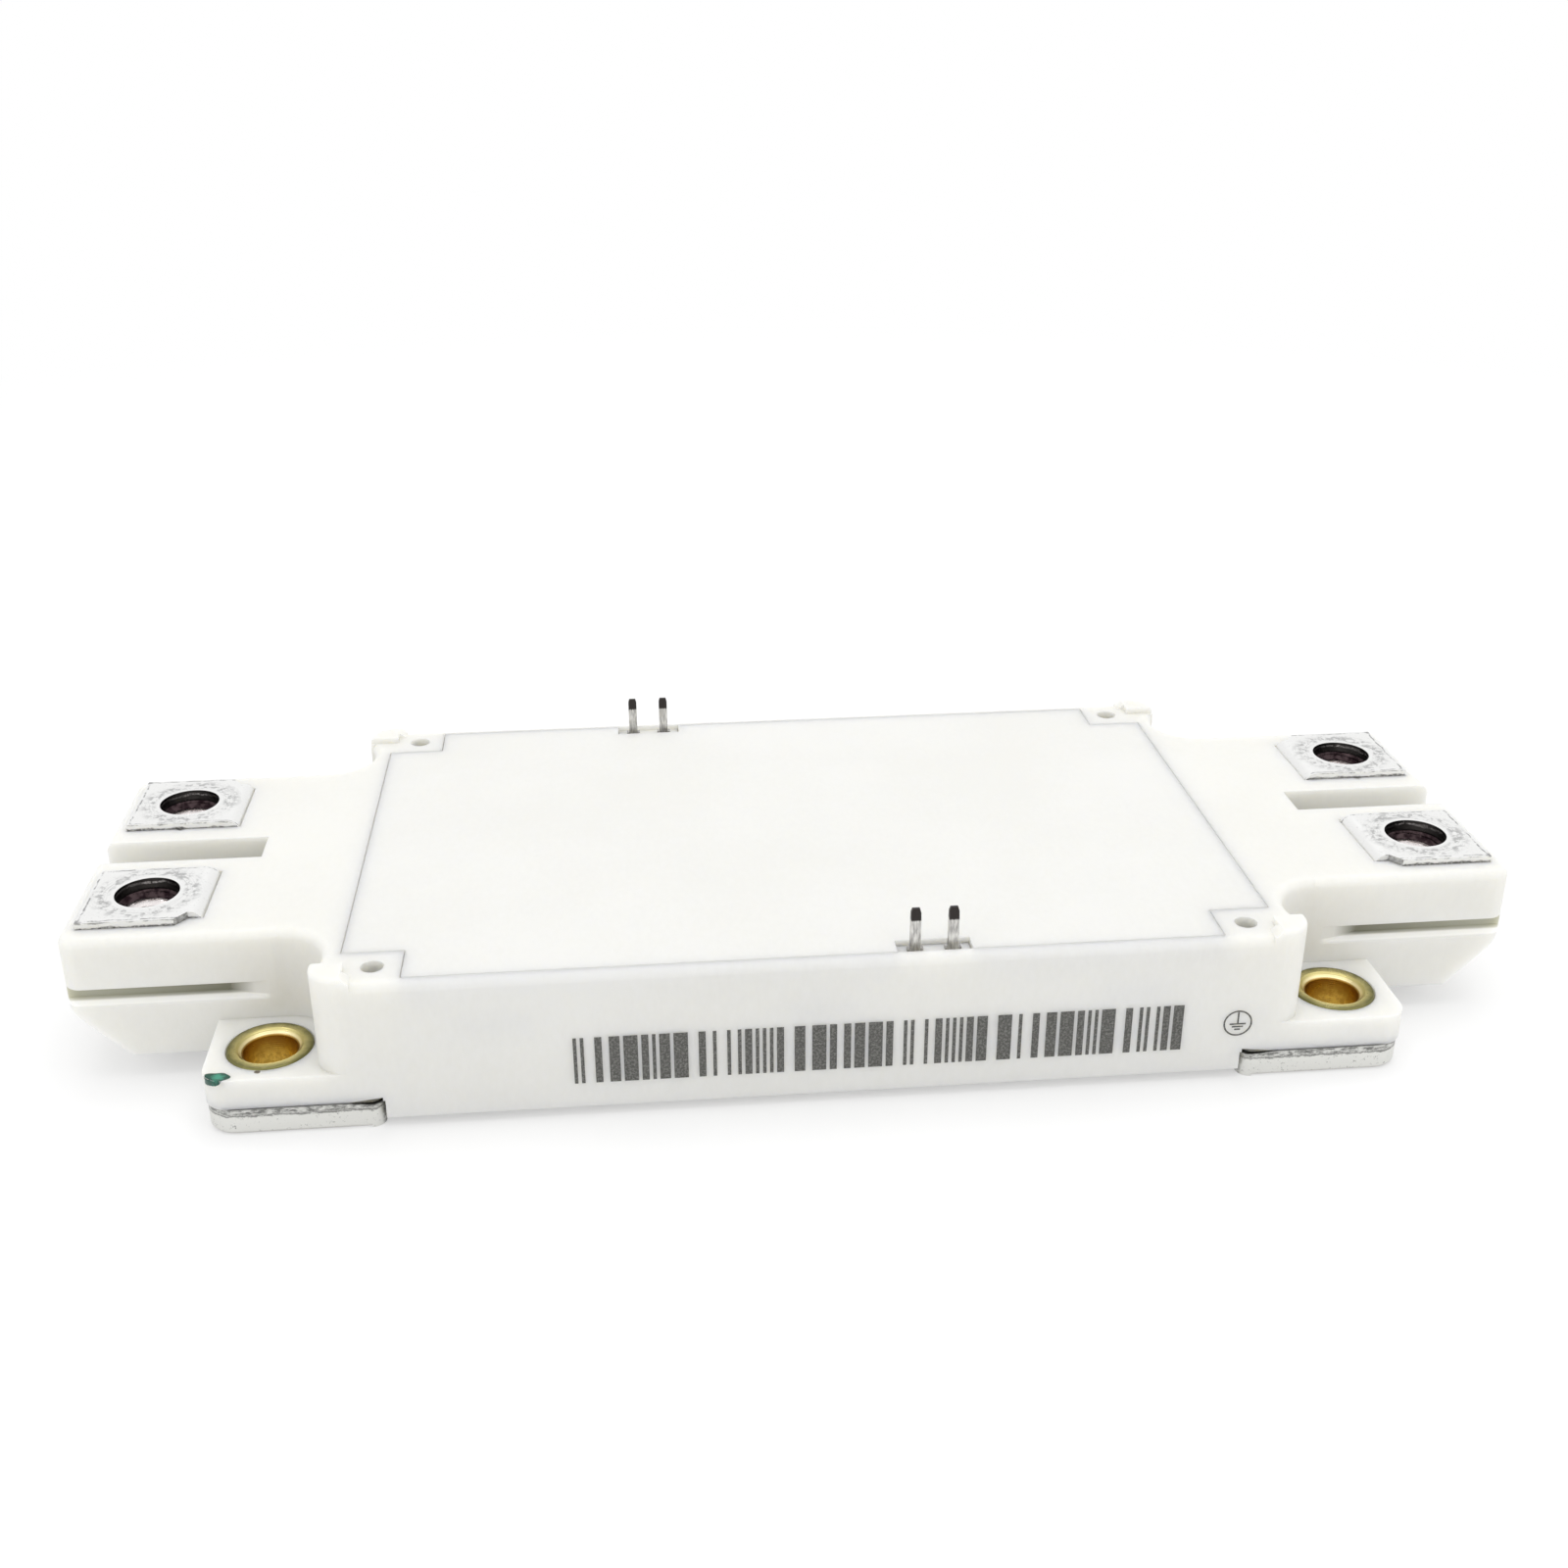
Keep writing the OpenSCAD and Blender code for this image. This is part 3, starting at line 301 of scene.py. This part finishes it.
def distance(material, vector):
    return add(material, "ShaderNodeVectorMath", {0: vector}, operation="LENGTH").outputs["Value"]


bore_r = 2.75
flange_r = 4.3
glow_from_mm = 6.2
glow_full_mm = 4.2

brass, shader = finish("turned_brass")
shader.inputs["Metallic"].default_value = 1.0
place = in_mm(brass)
radius = distance(brass, from_centre(brass, hole_centre("bushing_front_left")))
dull = grain(brass, place, 0.9, 4.0, 0.6)
outer = ramp(brass, plus(brass, radius, times(brass, dull, 1.1)), bore_r + 1.2, flange_r + 0.4)
face_tone = tint(brass, outer, rgb(0.62, 0.54, 0.23), rgb(0.19, 0.18, 0.07))
# Painted highlight: a pale cream ring on the bevel at the mouth of the bore
painted_bevel_highlight = ramp(brass, radius, bore_r + 0.42, bore_r + 0.26)
face_tone = tint(brass, painted_bevel_highlight, face_tone, rgb(0.92, 0.80, 0.46))
# Deeper down, the bore is painted lighter as a painted glow from light caught on its inner wall, with brown spots all
# over
height = axis_value(brass, place, "Z")
level = plus(brass, height, times(brass, dull, 1.2))
painted_bore_glow = ramp(brass, level, glow_from_mm, glow_full_mm)
bore_tone = tint(brass, painted_bore_glow, rgb(0.36, 0.20, 0.035), rgb(0.86, 0.64, 0.15))
burn = ramp(brass, grain(brass, place, 1.6, 5.0, 0.7), 0.42, 0.58, 0.0, 0.55)
bore_tone = tint(brass, burn, bore_tone, rgb(0.42, 0.24, 0.05))
in_bore = ramp(brass, radius, bore_r + 0.16, bore_r + 0.06)
feed(brass, shader, Base_Color=tint(brass, in_bore, face_tone, bore_tone),
     Roughness=ramp(brass, dull, 0.3, 0.7, 0.24, 0.42))
# Fine rings from the turning tool, on the flange and down the bore
rings = calc(brass, "SINE", times(brass, radius, 42.0))
turns = calc(brass, "SINE", times(brass, height, 26.0))
turned = plus(brass, rings, times(brass, turns, in_bore))
emboss(brass, shader, plus(brass, turned, times(brass, dull, 3.0)), 0.012, 0.5)
dress(["bushing_" + corner for corner in corners], brass)

# ---- Housing frame and lid ----
# Both are moulded in a warm white glass-filled plastic with a fine matt texture. The frame is glued and
# clamped to the baseplate, and the lid snaps in over the gel.

wing_root = 55.0
wing_side = 19.5
groove_low = 9.4
groove_high = 10.6
crumb_mm = (-55.5, -29.62, 6.3)

plastic, shader = finish("moulded_plastic")
shader.inputs["Specular IOR Level"].default_value = 0.35
shader.inputs["Subsurface Weight"].default_value = 0.8
shader.inputs["Subsurface Radius"].default_value = (1.0, 0.96, 0.82)
shader.inputs["Subsurface Scale"].default_value = 3.0 * MM
place = in_mm(plastic)
cloud = grain(plastic, place, 0.05, 3.0)
fibre = grain(plastic, in_mm(plastic, (1.0, 0.5, 0.5)), 1.6, 5.0, 0.6)
mottle = plus(plastic, times(plastic, cloud, 0.6), times(plastic, fibre, 0.4))
body_tone = tint(plastic, ramp(plastic, mottle, 0.4, 0.6), rgb(0.750, 0.744, 0.706), rgb(0.775, 0.770, 0.735))
# Painted shade greys the groove in each wing's side, darker towards the body
folded = mirrored(plastic, place)
along, aside, height = (axis_value(plastic, folded, axis) for axis in "XYZ")
in_wing = times(plastic, ramp(plastic, along, wing_root, wing_root + 0.5),
                ramp(plastic, aside, wing_side - 1.2, wing_side - 1.1))
sunk = times(plastic, in_wing, ramp(plastic, aside, wing_side - 0.04, wing_side - 0.22),
             ramp(plastic, along, wing_root + 2.0, wing_root + 4.6))
band = times(plastic, ramp(plastic, height, groove_low - 0.45, groove_low - 0.05),
             ramp(plastic, height, groove_high + 0.15, groove_high - 0.15))
painted_groove_shade = tint(plastic, ramp(plastic, along, 60.0, 76.0), rgb(0.24, 0.235, 0.175), rgb(0.47, 0.465, 0.37))
body_tone = tint(plastic, times(plastic, sunk, band), body_tone, painted_groove_shade)
# The sloped lip under the groove is painted lighter, a painted highlight where it faces up
slope = times(plastic, in_wing, ramp(plastic, aside, wing_side + 0.02, wing_side - 0.1))
strip = times(plastic, ramp(plastic, height, groove_low - 0.85, groove_low - 0.7),
              ramp(plastic, height, groove_low - 0.25, groove_low - 0.4))
body_tone = tint(plastic, times(plastic, slope, strip), body_tone, rgb(0.96, 0.955, 0.90))
# One crumb of dirt by the front left bushing
crumb = distance(plastic, away_from(plastic, place, crumb_mm))
crumb = plus(plastic, crumb, times(plastic, grain(plastic, place, 2.5), 0.35))
body_tone = tint(plastic, ramp(plastic, crumb, 0.52, 0.40), body_tone, rgb(0.10, 0.08, 0.05))
feed(plastic, shader, Base_Color=body_tone, Roughness=ramp(plastic, fibre, 0.3, 0.7, 0.46, 0.60))
texture = plus(plastic, grain(plastic, place, 5.0, 2.0), times(plastic, grain(plastic, place, 0.35), 2.5))
emboss(plastic, shader, texture, 0.012, 0.6)
dress(["housing_frame", "lid"], plastic)

# ---- Terminals ----
# Each terminal is one strip of copper, punched and bent, with bright tin plating on the tab. Screw heads
# and washers have scuffed it round the hole, and its cut edges carry dark torn lines, with painted shade at their
# foot and in the hole.

terminals = ("dc_minus", "dc_plus", "ac_front", "ac_rear")
mounts = {mount["name"]: mount for mount in frame["record"]["mounts"]}
screw_mm = [abs(value) / MM for value in mounts["screw_dc_minus"]["pos_m"][:2]]
tab_out = 5.9
tab_half = 5.8
tab_middle = 0.3
tab_rise = 0.7
hole_r = 3.3
washer_r = 5.9
tab_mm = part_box("terminal_dc_minus")[1].z / MM
rim_mm = tab_mm - tab_rise

plated, shader = finish("plated_terminal")
shader.inputs["Metallic"].default_value = 1.0
place = in_mm(plated)
out = from_centre(plated, screw_mm)
out_x, out_y = axis_value(plated, out, "X"), axis_value(plated, out, "Y")
radius = distance(plated, out)
turn = times(plated, calc(plated, "ARCTAN2", out_y, out_x), 0.8)
polar = add(plated, "ShaderNodeCombineXYZ", {"X": turn, "Y": times(plated, radius, 3.2)})
scuff = grain(plated, polar.outputs[0], 2.2, 5.0, 0.65)
fleck = grain(plated, place, 3.4, 6.0, 0.75)
# Washers scuffed a ring round the hole; the lip of the hole itself stayed bright
ring = times(plated, ramp(plated, radius, washer_r, washer_r - 1.1), ramp(plated, radius, hole_r + 0.3, hole_r + 0.8))
dabs = ramp(plated, grain(plated, place, 1.5, 4.0, 0.6), 0.47, 0.58)
streaks = times(plated, ramp(plated, scuff, 0.50, 0.60), 0.5)
scratch = times(plated, most(plated, streaks, dabs), ring, 0.7)
spots = times(plated, ramp(plated, fleck, 0.60, 0.66), 0.45)
# Thin broken line where the punch drew the edges of the tab's top
wobble = ramp(plated, grain(plated, place, 0.7, 3.0), 0.3, 0.7, -0.12, 0.12)
to_side = calc(plated, "SUBTRACT", tab_half, off(plated, out_y, tab_middle))
to_end = calc(plated, "SUBTRACT", tab_out, out_x)
to_edge = plus(plated, calc(plated, "MINIMUM", to_side, to_end), wobble)
broken = ramp(plated, grain(plated, place, 0.9, 4.0, 0.7), 0.42, 0.56)
line = times(plated, ramp(plated, off(plated, to_edge, 0.30), 0.13, 0.04), broken)
# Dirt on the outer corner
to_corner = distance(plated, away_from(plated, out, (tab_out, tab_middle + tab_half, 0)))
corner_dirt = ramp(plated, plus(plated, to_corner, times(plated, fleck, 1.2)), 1.35, 0.95)
mark = most(plated, scratch, line, spots, corner_dirt)
tab_tone = tint(plated, mark, rgb(0.84, 0.84, 0.83), rgb(0.30, 0.30, 0.30))
# The cut sides are bright, with a torn line at the top and painted shade, broken up, at their foot
height = plus(plated, axis_value(plated, place, "Z"), times(plated, wobble, 1.2))
shaded_foot = times(plated, ramp(plated, height, rim_mm + 0.22, rim_mm + 0.06),
             ramp(plated, fleck, 0.40, 0.55, 0.35, 1.0), 0.85)
torn = times(plated, ramp(plated, height, tab_mm - 0.20, tab_mm - 0.06), broken, 0.6)
# The cut corner by the bend is torn all over
slanted = times(plated, ramp(plated, facing(plated, "X"), 0.25, 0.4), ramp(plated, facing(plated, "Y"), 0.25, 0.4),
                ramp(plated, fleck, 0.38, 0.55, 0.35, 0.9))
# The hole's wall is painted dark as shade, but for an arc painted lighter as a glint on it
in_hole = ramp(plated, radius, hole_r + 0.25, hole_r + 0.1)
painted_glint_arc = ramp(plated, off(plated, height, tab_mm - 0.48), 0.16, 0.06, 0.0, 0.55)
painted_glint_arc = times(plated, painted_glint_arc, ramp(plated, fleck, 0.42, 0.55))
painted_hole_shade = times(plated, in_hole, calc(plated, "SUBTRACT", 1.0, painted_glint_arc))
side_tone = tint(plated, most(plated, shaded_foot, torn, slanted, painted_hole_shade), rgb(0.86, 0.86, 0.85), rgb(0.05, 0.048, 0.046))
end_face = times(plated, facing(plated, "X"), calc(plated, "GREATER_THAN", out_x, 4.0))
on_edge = ramp(plated, most(plated, facing(plated, "Y"), end_face, in_hole), 0.4, 0.7)
on_edge = times(plated, on_edge, ramp(plated, facing(plated, "Z"), 0.8, 0.5))
feed(plated, shader, Base_Color=tint(plated, on_edge, tab_tone, side_tone),
     Roughness=ramp(plated, scuff, 0.3, 0.7, 0.26, 0.42))
emboss(plated, shader, plus(plated, scuff, grain(plated, place, 1.2, 4.0)), 0.02, 0.5)
dress(["terminal_" + name for name in terminals], plated)

# ---- Nuts ----
# Pressed steel M6 nuts lie loose in six-sided pockets under the tabs. Their blued steel looks dark
# through the tab's hole, with a true thread cut in the bore.

nut_af = 10.0
core_r = 2.5
thread_depth = 0.45
pitch = 1.0
steps = 96
rows_per_mm = 12
nut_top_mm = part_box("nut_front_left")[1].z / MM

blued, shader = finish("blued_steel")
shader.inputs["Metallic"].default_value = 1.0
place = in_mm(blued)
patch = grain(blued, place, 1.4, 4.0)
blue_tone = tint(blued, ramp(blued, patch, 0.4, 0.62), rgb(0.016, 0.009, 0.011), rgb(0.065, 0.045, 0.048))
# Bolts have rubbed the lower turns of the thread bright
height = plus(blued, axis_value(blued, place, "Z"), times(blued, patch, 0.3))
thread_r = core_r + thread_depth
from_axis = distance(blued, from_centre(blued, hole_centre("nut_front_left")))
rubbed = times(blued, ramp(blued, from_axis, thread_r + 0.5, thread_r + 0.3),
               ramp(blued, height, nut_top_mm - 0.75, nut_top_mm - 0.95))
feed(blued, shader, Base_Color=tint(blued, rubbed, blue_tone, rgb(0.88, 0.83, 0.82)),
     Roughness=ramp(blued, patch, 0.3, 0.7, 0.20, 0.32))
emboss(blued, shader, grain(blued, place, 4.0), 0.01, 0.4)


def make_piece(name, points, faces, material):
    """A new mesh object, its points in millimetres."""
    mesh = bpy.data.meshes.new(name)
    mesh.from_pydata([tuple(c * MM for c in point) for point in points], [], faces)
    mesh.materials.append(material)
    mesh.validate()
    piece = bpy.data.objects.new(name, mesh)
    bpy.context.scene.collection.objects.link(piece)
    return piece


def make_nut(name, node):
    """Hexagon nut from rings of points: over the outside, in at the top and down the threaded bore."""
    low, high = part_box(node)
    cx, cy = (low.x + high.x) / 2 / MM, (low.y + high.y) / 2 / MM
    z0, z1 = low.z / MM, high.z / MM
    rim = nut_af / 2 - 0.1
    mouth = core_r + 0.6

    def hexagon(angle):
        return nut_af / 2 / math.cos(math.radians((math.degrees(angle) + 30) % 60 - 30))

    def slope(angle):
        return (hexagon(angle) - rim) * math.tan(math.radians(30))

    def bore(angle, z):
        phase = ((z - z0) / pitch - angle / (2 * math.pi)) % 1.0
        groove = core_r + thread_depth * (1 - abs(2 * phase - 1))
        return max(groove, mouth - (z - z0), mouth - (z1 - z))

    rings = [
        lambda a: (rim, z0),
        lambda a: (hexagon(a), z0 + slope(a)),
        lambda a: (hexagon(a), z1 - slope(a)),
        lambda a: (rim, z1),
    ]
    rows = int((z1 - z0) * rows_per_mm)
    for row in range(rows + 1):
        z = z1 - (z1 - z0) * row / rows
        rings.append(lambda a, z=z: (bore(a, z), z))
    points, faces = [], []
    for ring in rings:
        for step in range(steps):
            angle = 2 * math.pi * step / steps
            r, z = ring(angle)
            points.append((cx + r * math.cos(angle), cy + r * math.sin(angle), z))
    for i in range(len(rings)):
        j = (i + 1) % len(rings)
        for step in range(steps):
            after = (step + 1) % steps
            faces.append((i * steps + step, i * steps + after, j * steps + after, j * steps + step))
    return make_piece(name, points, faces, blued)


for corner in corners:
    nut = make_nut("m6_nut_" + corner, "nut_" + corner)
    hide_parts("nut_" + corner)
    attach(nut, "root")

# ---- Signal pins ----
# The pins are punched from tinned strip, with a shoulder that sits on the frame. The point at the top
# is painted near black as the dark reflection in its sloped faces, and the shaft is painted darker towards its foot
# as shade.

tinned, shader = finish("tinned_pin")
shader.inputs["Metallic"].default_value = 1.0
place = in_mm(tinned)
tip_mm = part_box("pin_low_gate")[1].z / MM
height = axis_value(tinned, place, "Z")
smear = grain(tinned, in_mm(tinned, (3, 3, 0.6)), 1.6, 4.0)
# Painted reflection: the point is painted near black for the dark reflection in its sloped faces
painted_dark_tip = ramp(tinned, plus(tinned, height, times(tinned, smear, 0.3)), tip_mm - 1.2, tip_mm - 1.05)
# Painted shade: the shaft darkens towards its foot, down in the pocket
shaded_foot = ramp(tinned, height, tip_mm - 3.2, tip_mm - 4.0, 0.0, 0.3)
shaft_tone = tint(tinned, ramp(tinned, smear, 0.35, 0.65), rgb(0.72, 0.71, 0.68), rgb(0.36, 0.35, 0.34))
pin_tone = tint(tinned, most(tinned, painted_dark_tip, shaded_foot), shaft_tone, rgb(0.045, 0.040, 0.038))
feed(tinned, shader, Base_Color=pin_tone,
     Roughness=ramp(tinned, smear, 0.3, 0.7, 0.3, 0.45))
emboss(tinned, shader, smear, 0.02, 0.4)
dress(["pin_low_gate", "pin_low_emitter", "pin_high_gate", "pin_high_emitter"], tinned)

# ---- Printed bars ----
# A row of upright bars is printed in dark grey ink on the front side, by a plain counting rule that
# holds no code. The ink is a thin film with a slightly worn surface.

frame_lo, frame_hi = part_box("housing_frame")
front_mm = frame_lo.y / MM
ink_film = 0.012
bars_x = (-24.65, 36.95)
bars_z = (3.77, 9.05)
bar_count = 49

ink, shader = finish("grey_ink")
place = in_mm(ink)
wear = ramp(ink, grain(ink, place, 4.0, 5.0, 0.7), 0.46, 0.62)
feed(ink, shader, Base_Color=tint(ink, wear, rgb(0.062, 0.061, 0.055), rgb(0.185, 0.184, 0.172)),
     Roughness=ramp(ink, wear, 0.0, 1.0, 0.55, 0.7))


def film_box(points, faces, x0, x1, z0, z1):
    """Adds one thin block of ink to the front side."""
    start = len(points)
    for y in (front_mm - ink_film, front_mm + ink_film):
        points.extend([(x0, y, z0), (x1, y, z0), (x1, y, z1), (x0, y, z1)])
    a, b, c, d, e, f, g, h = range(start, start + 8)
    faces.extend([(a, b, c, d), (e, h, g, f), (a, e, f, b), (b, f, g, c), (c, g, h, d), (d, h, e, a)])


def bar_rule(count):
    """Widths of a bar and of the space after it, counted in units."""
    bar = (1, 3, 1, 2, 2, 1, 4)[(count * 5 + count // 7) % 7]
    space = (1, 1, 3, 1, 2)[(count * 2 + count // 5) % 5]
    return bar, space


widths = [bar_rule(count) for count in range(bar_count)]
unit = (bars_x[1] - bars_x[0]) / (sum(bar + space for bar, space in widths) - widths[-1][1])
points, faces = [], []
x = bars_x[0]
for bar, space in widths:
    film_box(points, faces, x, x + bar * unit, *bars_z)
    x += (bar + space) * unit
bars = make_piece("printed_bars", points, faces, ink)
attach(bars, "root")

# ---- Earth sign ----
# The general sign for a protective earth is printed beside the bars: a ring with a stem and three
# shorter and shorter bars.

sign_x = 42.72
sign_z = 6.54
ring_r = 1.5
line_w = 0.17

points, faces = [], []
sides = 64
for y in (front_mm - ink_film, front_mm + ink_film):
    for r in (ring_r - line_w, ring_r):
        for step in range(sides):
            angle = 2 * math.pi * step / sides
            points.append((sign_x + r * math.cos(angle), y, sign_z + r * math.sin(angle)))
for step in range(sides):
    after = (step + 1) % sides
    quad = [ring * sides for ring in (0, 1, 3, 2)]
    for k in range(4):
        here, there = quad[k], quad[(k + 1) % 4]
        faces.append((here + step, here + after, there + after, there + step))
film_box(points, faces, sign_x - line_w / 2, sign_x + line_w / 2, sign_z, sign_z + ring_r - line_w)
for level, half in ((0.0, 0.85), (-0.32, 0.58), (-0.64, 0.30)):
    film_box(points, faces, sign_x - half, sign_x + half, sign_z + level - line_w, sign_z + level)
sign = make_piece("earth_sign", points, faces, ink)
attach(sign, "root")

# ---- Green mark ----
# A tester dabbed green marker ink over the front left ear's corner. The drop lies on the ear's top
# and runs a little way down its side.

dab_centre = (-59.4, -30.3)
dab_half = (1.3, 1.0)
dab_thin = (-59.15, -30.2, 6.2)
ear_top_mm = 6.3
ear_end_mm = -plate_hi.x / MM
ear_round = 2.5
dab_film = 0.05

marker, shader = finish("marker_ink")
place = in_mm(marker)
# It dries thin in the middle and pools at the left end and along the rim
pooled = distance(marker, away_from(marker, place, dab_thin))
pooled = plus(marker, pooled, times(marker, grain(marker, place, 2.2, 4.0), 1.1))
thin = ramp(marker, pooled, 1.35, 0.85)
feed(marker, shader, Base_Color=tint(marker, thin, rgb(0.003, 0.060, 0.038), rgb(0.045, 0.27, 0.18)),
     Roughness=ramp(marker, thin, 0.0, 1.0, 0.35, 0.5))


def ear_edge_y(x):
    """Y of the ear's front side at x, round its corner."""
    over = ear_end_mm + ear_round - x
    if over <= 0:
        return front_mm
    return front_mm + ear_round - math.sqrt(max(ear_round ** 2 - over ** 2, 0.0))


def on_ear(x, y, lift):
    """Point of the dab over the plan point (x, y): what lies past the edge hangs down the side."""
    edge = ear_edge_y(x)
    if y >= edge:
        return (x, y, ear_top_mm + lift)
    return (x, edge - lift, ear_top_mm - (edge - y))


points, faces = [], []
rings, spokes = 8, 40
points.append(on_ear(*dab_centre, dab_film))
for ring in range(1, rings + 1):
    share = ring / rings
    for spoke in range(spokes):
        angle = 2 * math.pi * spoke / spokes
        uneven = 1 + 0.12 * math.sin(3 * angle + 0.7) + 0.08 * math.sin(5 * angle + 2.1)
        x = dab_centre[0] + dab_half[0] * share * uneven * math.cos(angle)
        y = dab_centre[1] + dab_half[1] * share * uneven * math.sin(angle)
        lift = dab_film * (1 - share ** 4) - 0.005 * share
        points.append(on_ear(x, y, lift))
for spoke in range(spokes):
    after = (spoke + 1) % spokes
    faces.append((0, 1 + spoke, 1 + after))
    for ring in range(rings - 1):
        a, b = 1 + ring * spokes, 1 + (ring + 1) * spokes
        faces.append((a + spoke, b + spoke, b + after, a + after))
dab = make_piece("green_mark", points, faces, marker)
for face in dab.data.polygons:
    face.use_smooth = True
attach(dab, "root")

# ---- Studio ----
# The module lies on a white sweep under a large soft lamp, with pale light from all round.
# The camera looks down on the front long side from a little to the left.

floor_half = 3.0
floor_drop = 0.00002
fade_from = 110.0
fade_to = 380.0


def looked_at(owner):
    """1 for rays of the camera, of a reflection or through clear matter, and 0 for light."""
    rays = add(owner, "ShaderNodeLightPath", {}).outputs
    return most(owner, rays["Is Camera Ray"], rays["Is Glossy Ray"], rays["Is Transmission Ray"])


bpy.ops.mesh.primitive_plane_add(size=2 * floor_half, location=(0, 0, plate_lo.z - floor_drop))
floor = bpy.context.object
floor.name = "floor"
paper, shader = finish("white_paper")
shader.inputs["Roughness"].default_value = 0.9
shader.inputs["Specular IOR Level"].default_value = 0.1
place = in_mm(paper)
feed(paper, shader, Base_Color=tint(paper, grain(paper, place, 0.02), rgb(0.90, 0.90, 0.90), rgb(0.92, 0.92, 0.92)))
# Away from the part the sweep runs out into plain white
away = times(paper, ramp(paper, distance(paper, place), fade_from, fade_to, 0.4, 1.0), looked_at(paper))
white = add(paper, "ShaderNodeEmission", {"Color": rgb(1.0, 1.0, 1.0), "Strength": 1.0})
sweep = add(paper, "ShaderNodeMixShader", {0: away, 1: shader.outputs[0], 2: white.outputs[0]})
paper.node_tree.links.new(sweep.outputs[0], paper.node_tree.nodes["Material Output"].inputs["Surface"])
floor.data.materials.append(paper)

world = bpy.data.worlds.new("studio")
bpy.context.scene.world = world
world.use_nodes = True
sky = world.node_tree.nodes["Background"]
sky.inputs["Color"].default_value = rgb(1.0, 1.0, 1.0)
feed(world, sky, Strength=ramp(world, looked_at(world), 0.0, 1.0, 0.85, 1.0))

# One large soft lamp overhead and a small one before each end
for name, place, width, energy in (("soft_box", (0.05, 0.15, 0.9), 0.8, 3.5),
                                   ("left_lamp", (-0.26, -0.22, 0.16), 0.2, 0.11),
                                   ("right_lamp", (0.26, -0.22, 0.16), 0.2, 0.11)):
    lamp_data = bpy.data.lights.new(name, "AREA")
    lamp_data.size = width
    lamp_data.energy = energy
    lamp = bpy.data.objects.new(name, lamp_data)
    lamp.location = place
    lamp.rotation_mode = "QUATERNION"
    lamp.rotation_quaternion = (-Vector(place)).to_track_quat("-Z", "Y")
    bpy.context.scene.collection.objects.link(lamp)

azimuth, elevation, roll = (math.radians(degrees) for degrees in (-5.48, 24.82, -0.15))
level = math.cos(elevation)
back = Vector((math.sin(azimuth) * level, -math.cos(azimuth) * level, math.sin(elevation)))
camera_data = bpy.data.cameras.new("camera")
camera_data.sensor_width = 36.0
camera_data.lens = 41.3
camera_data.clip_start = 0.01
camera_data.clip_end = 20.0
camera = bpy.data.objects.new("camera", camera_data)
camera.location = (-0.0182, -0.1821, 0.1058)
camera.rotation_mode = "QUATERNION"
camera.rotation_quaternion = (-back).to_track_quat("-Z", "Y") @ Quaternion((0, 0, 1), roll)
bpy.context.scene.collection.objects.link(camera)
bpy.context.scene.camera = camera

bpy.context.scene.view_settings.view_transform = "Standard"
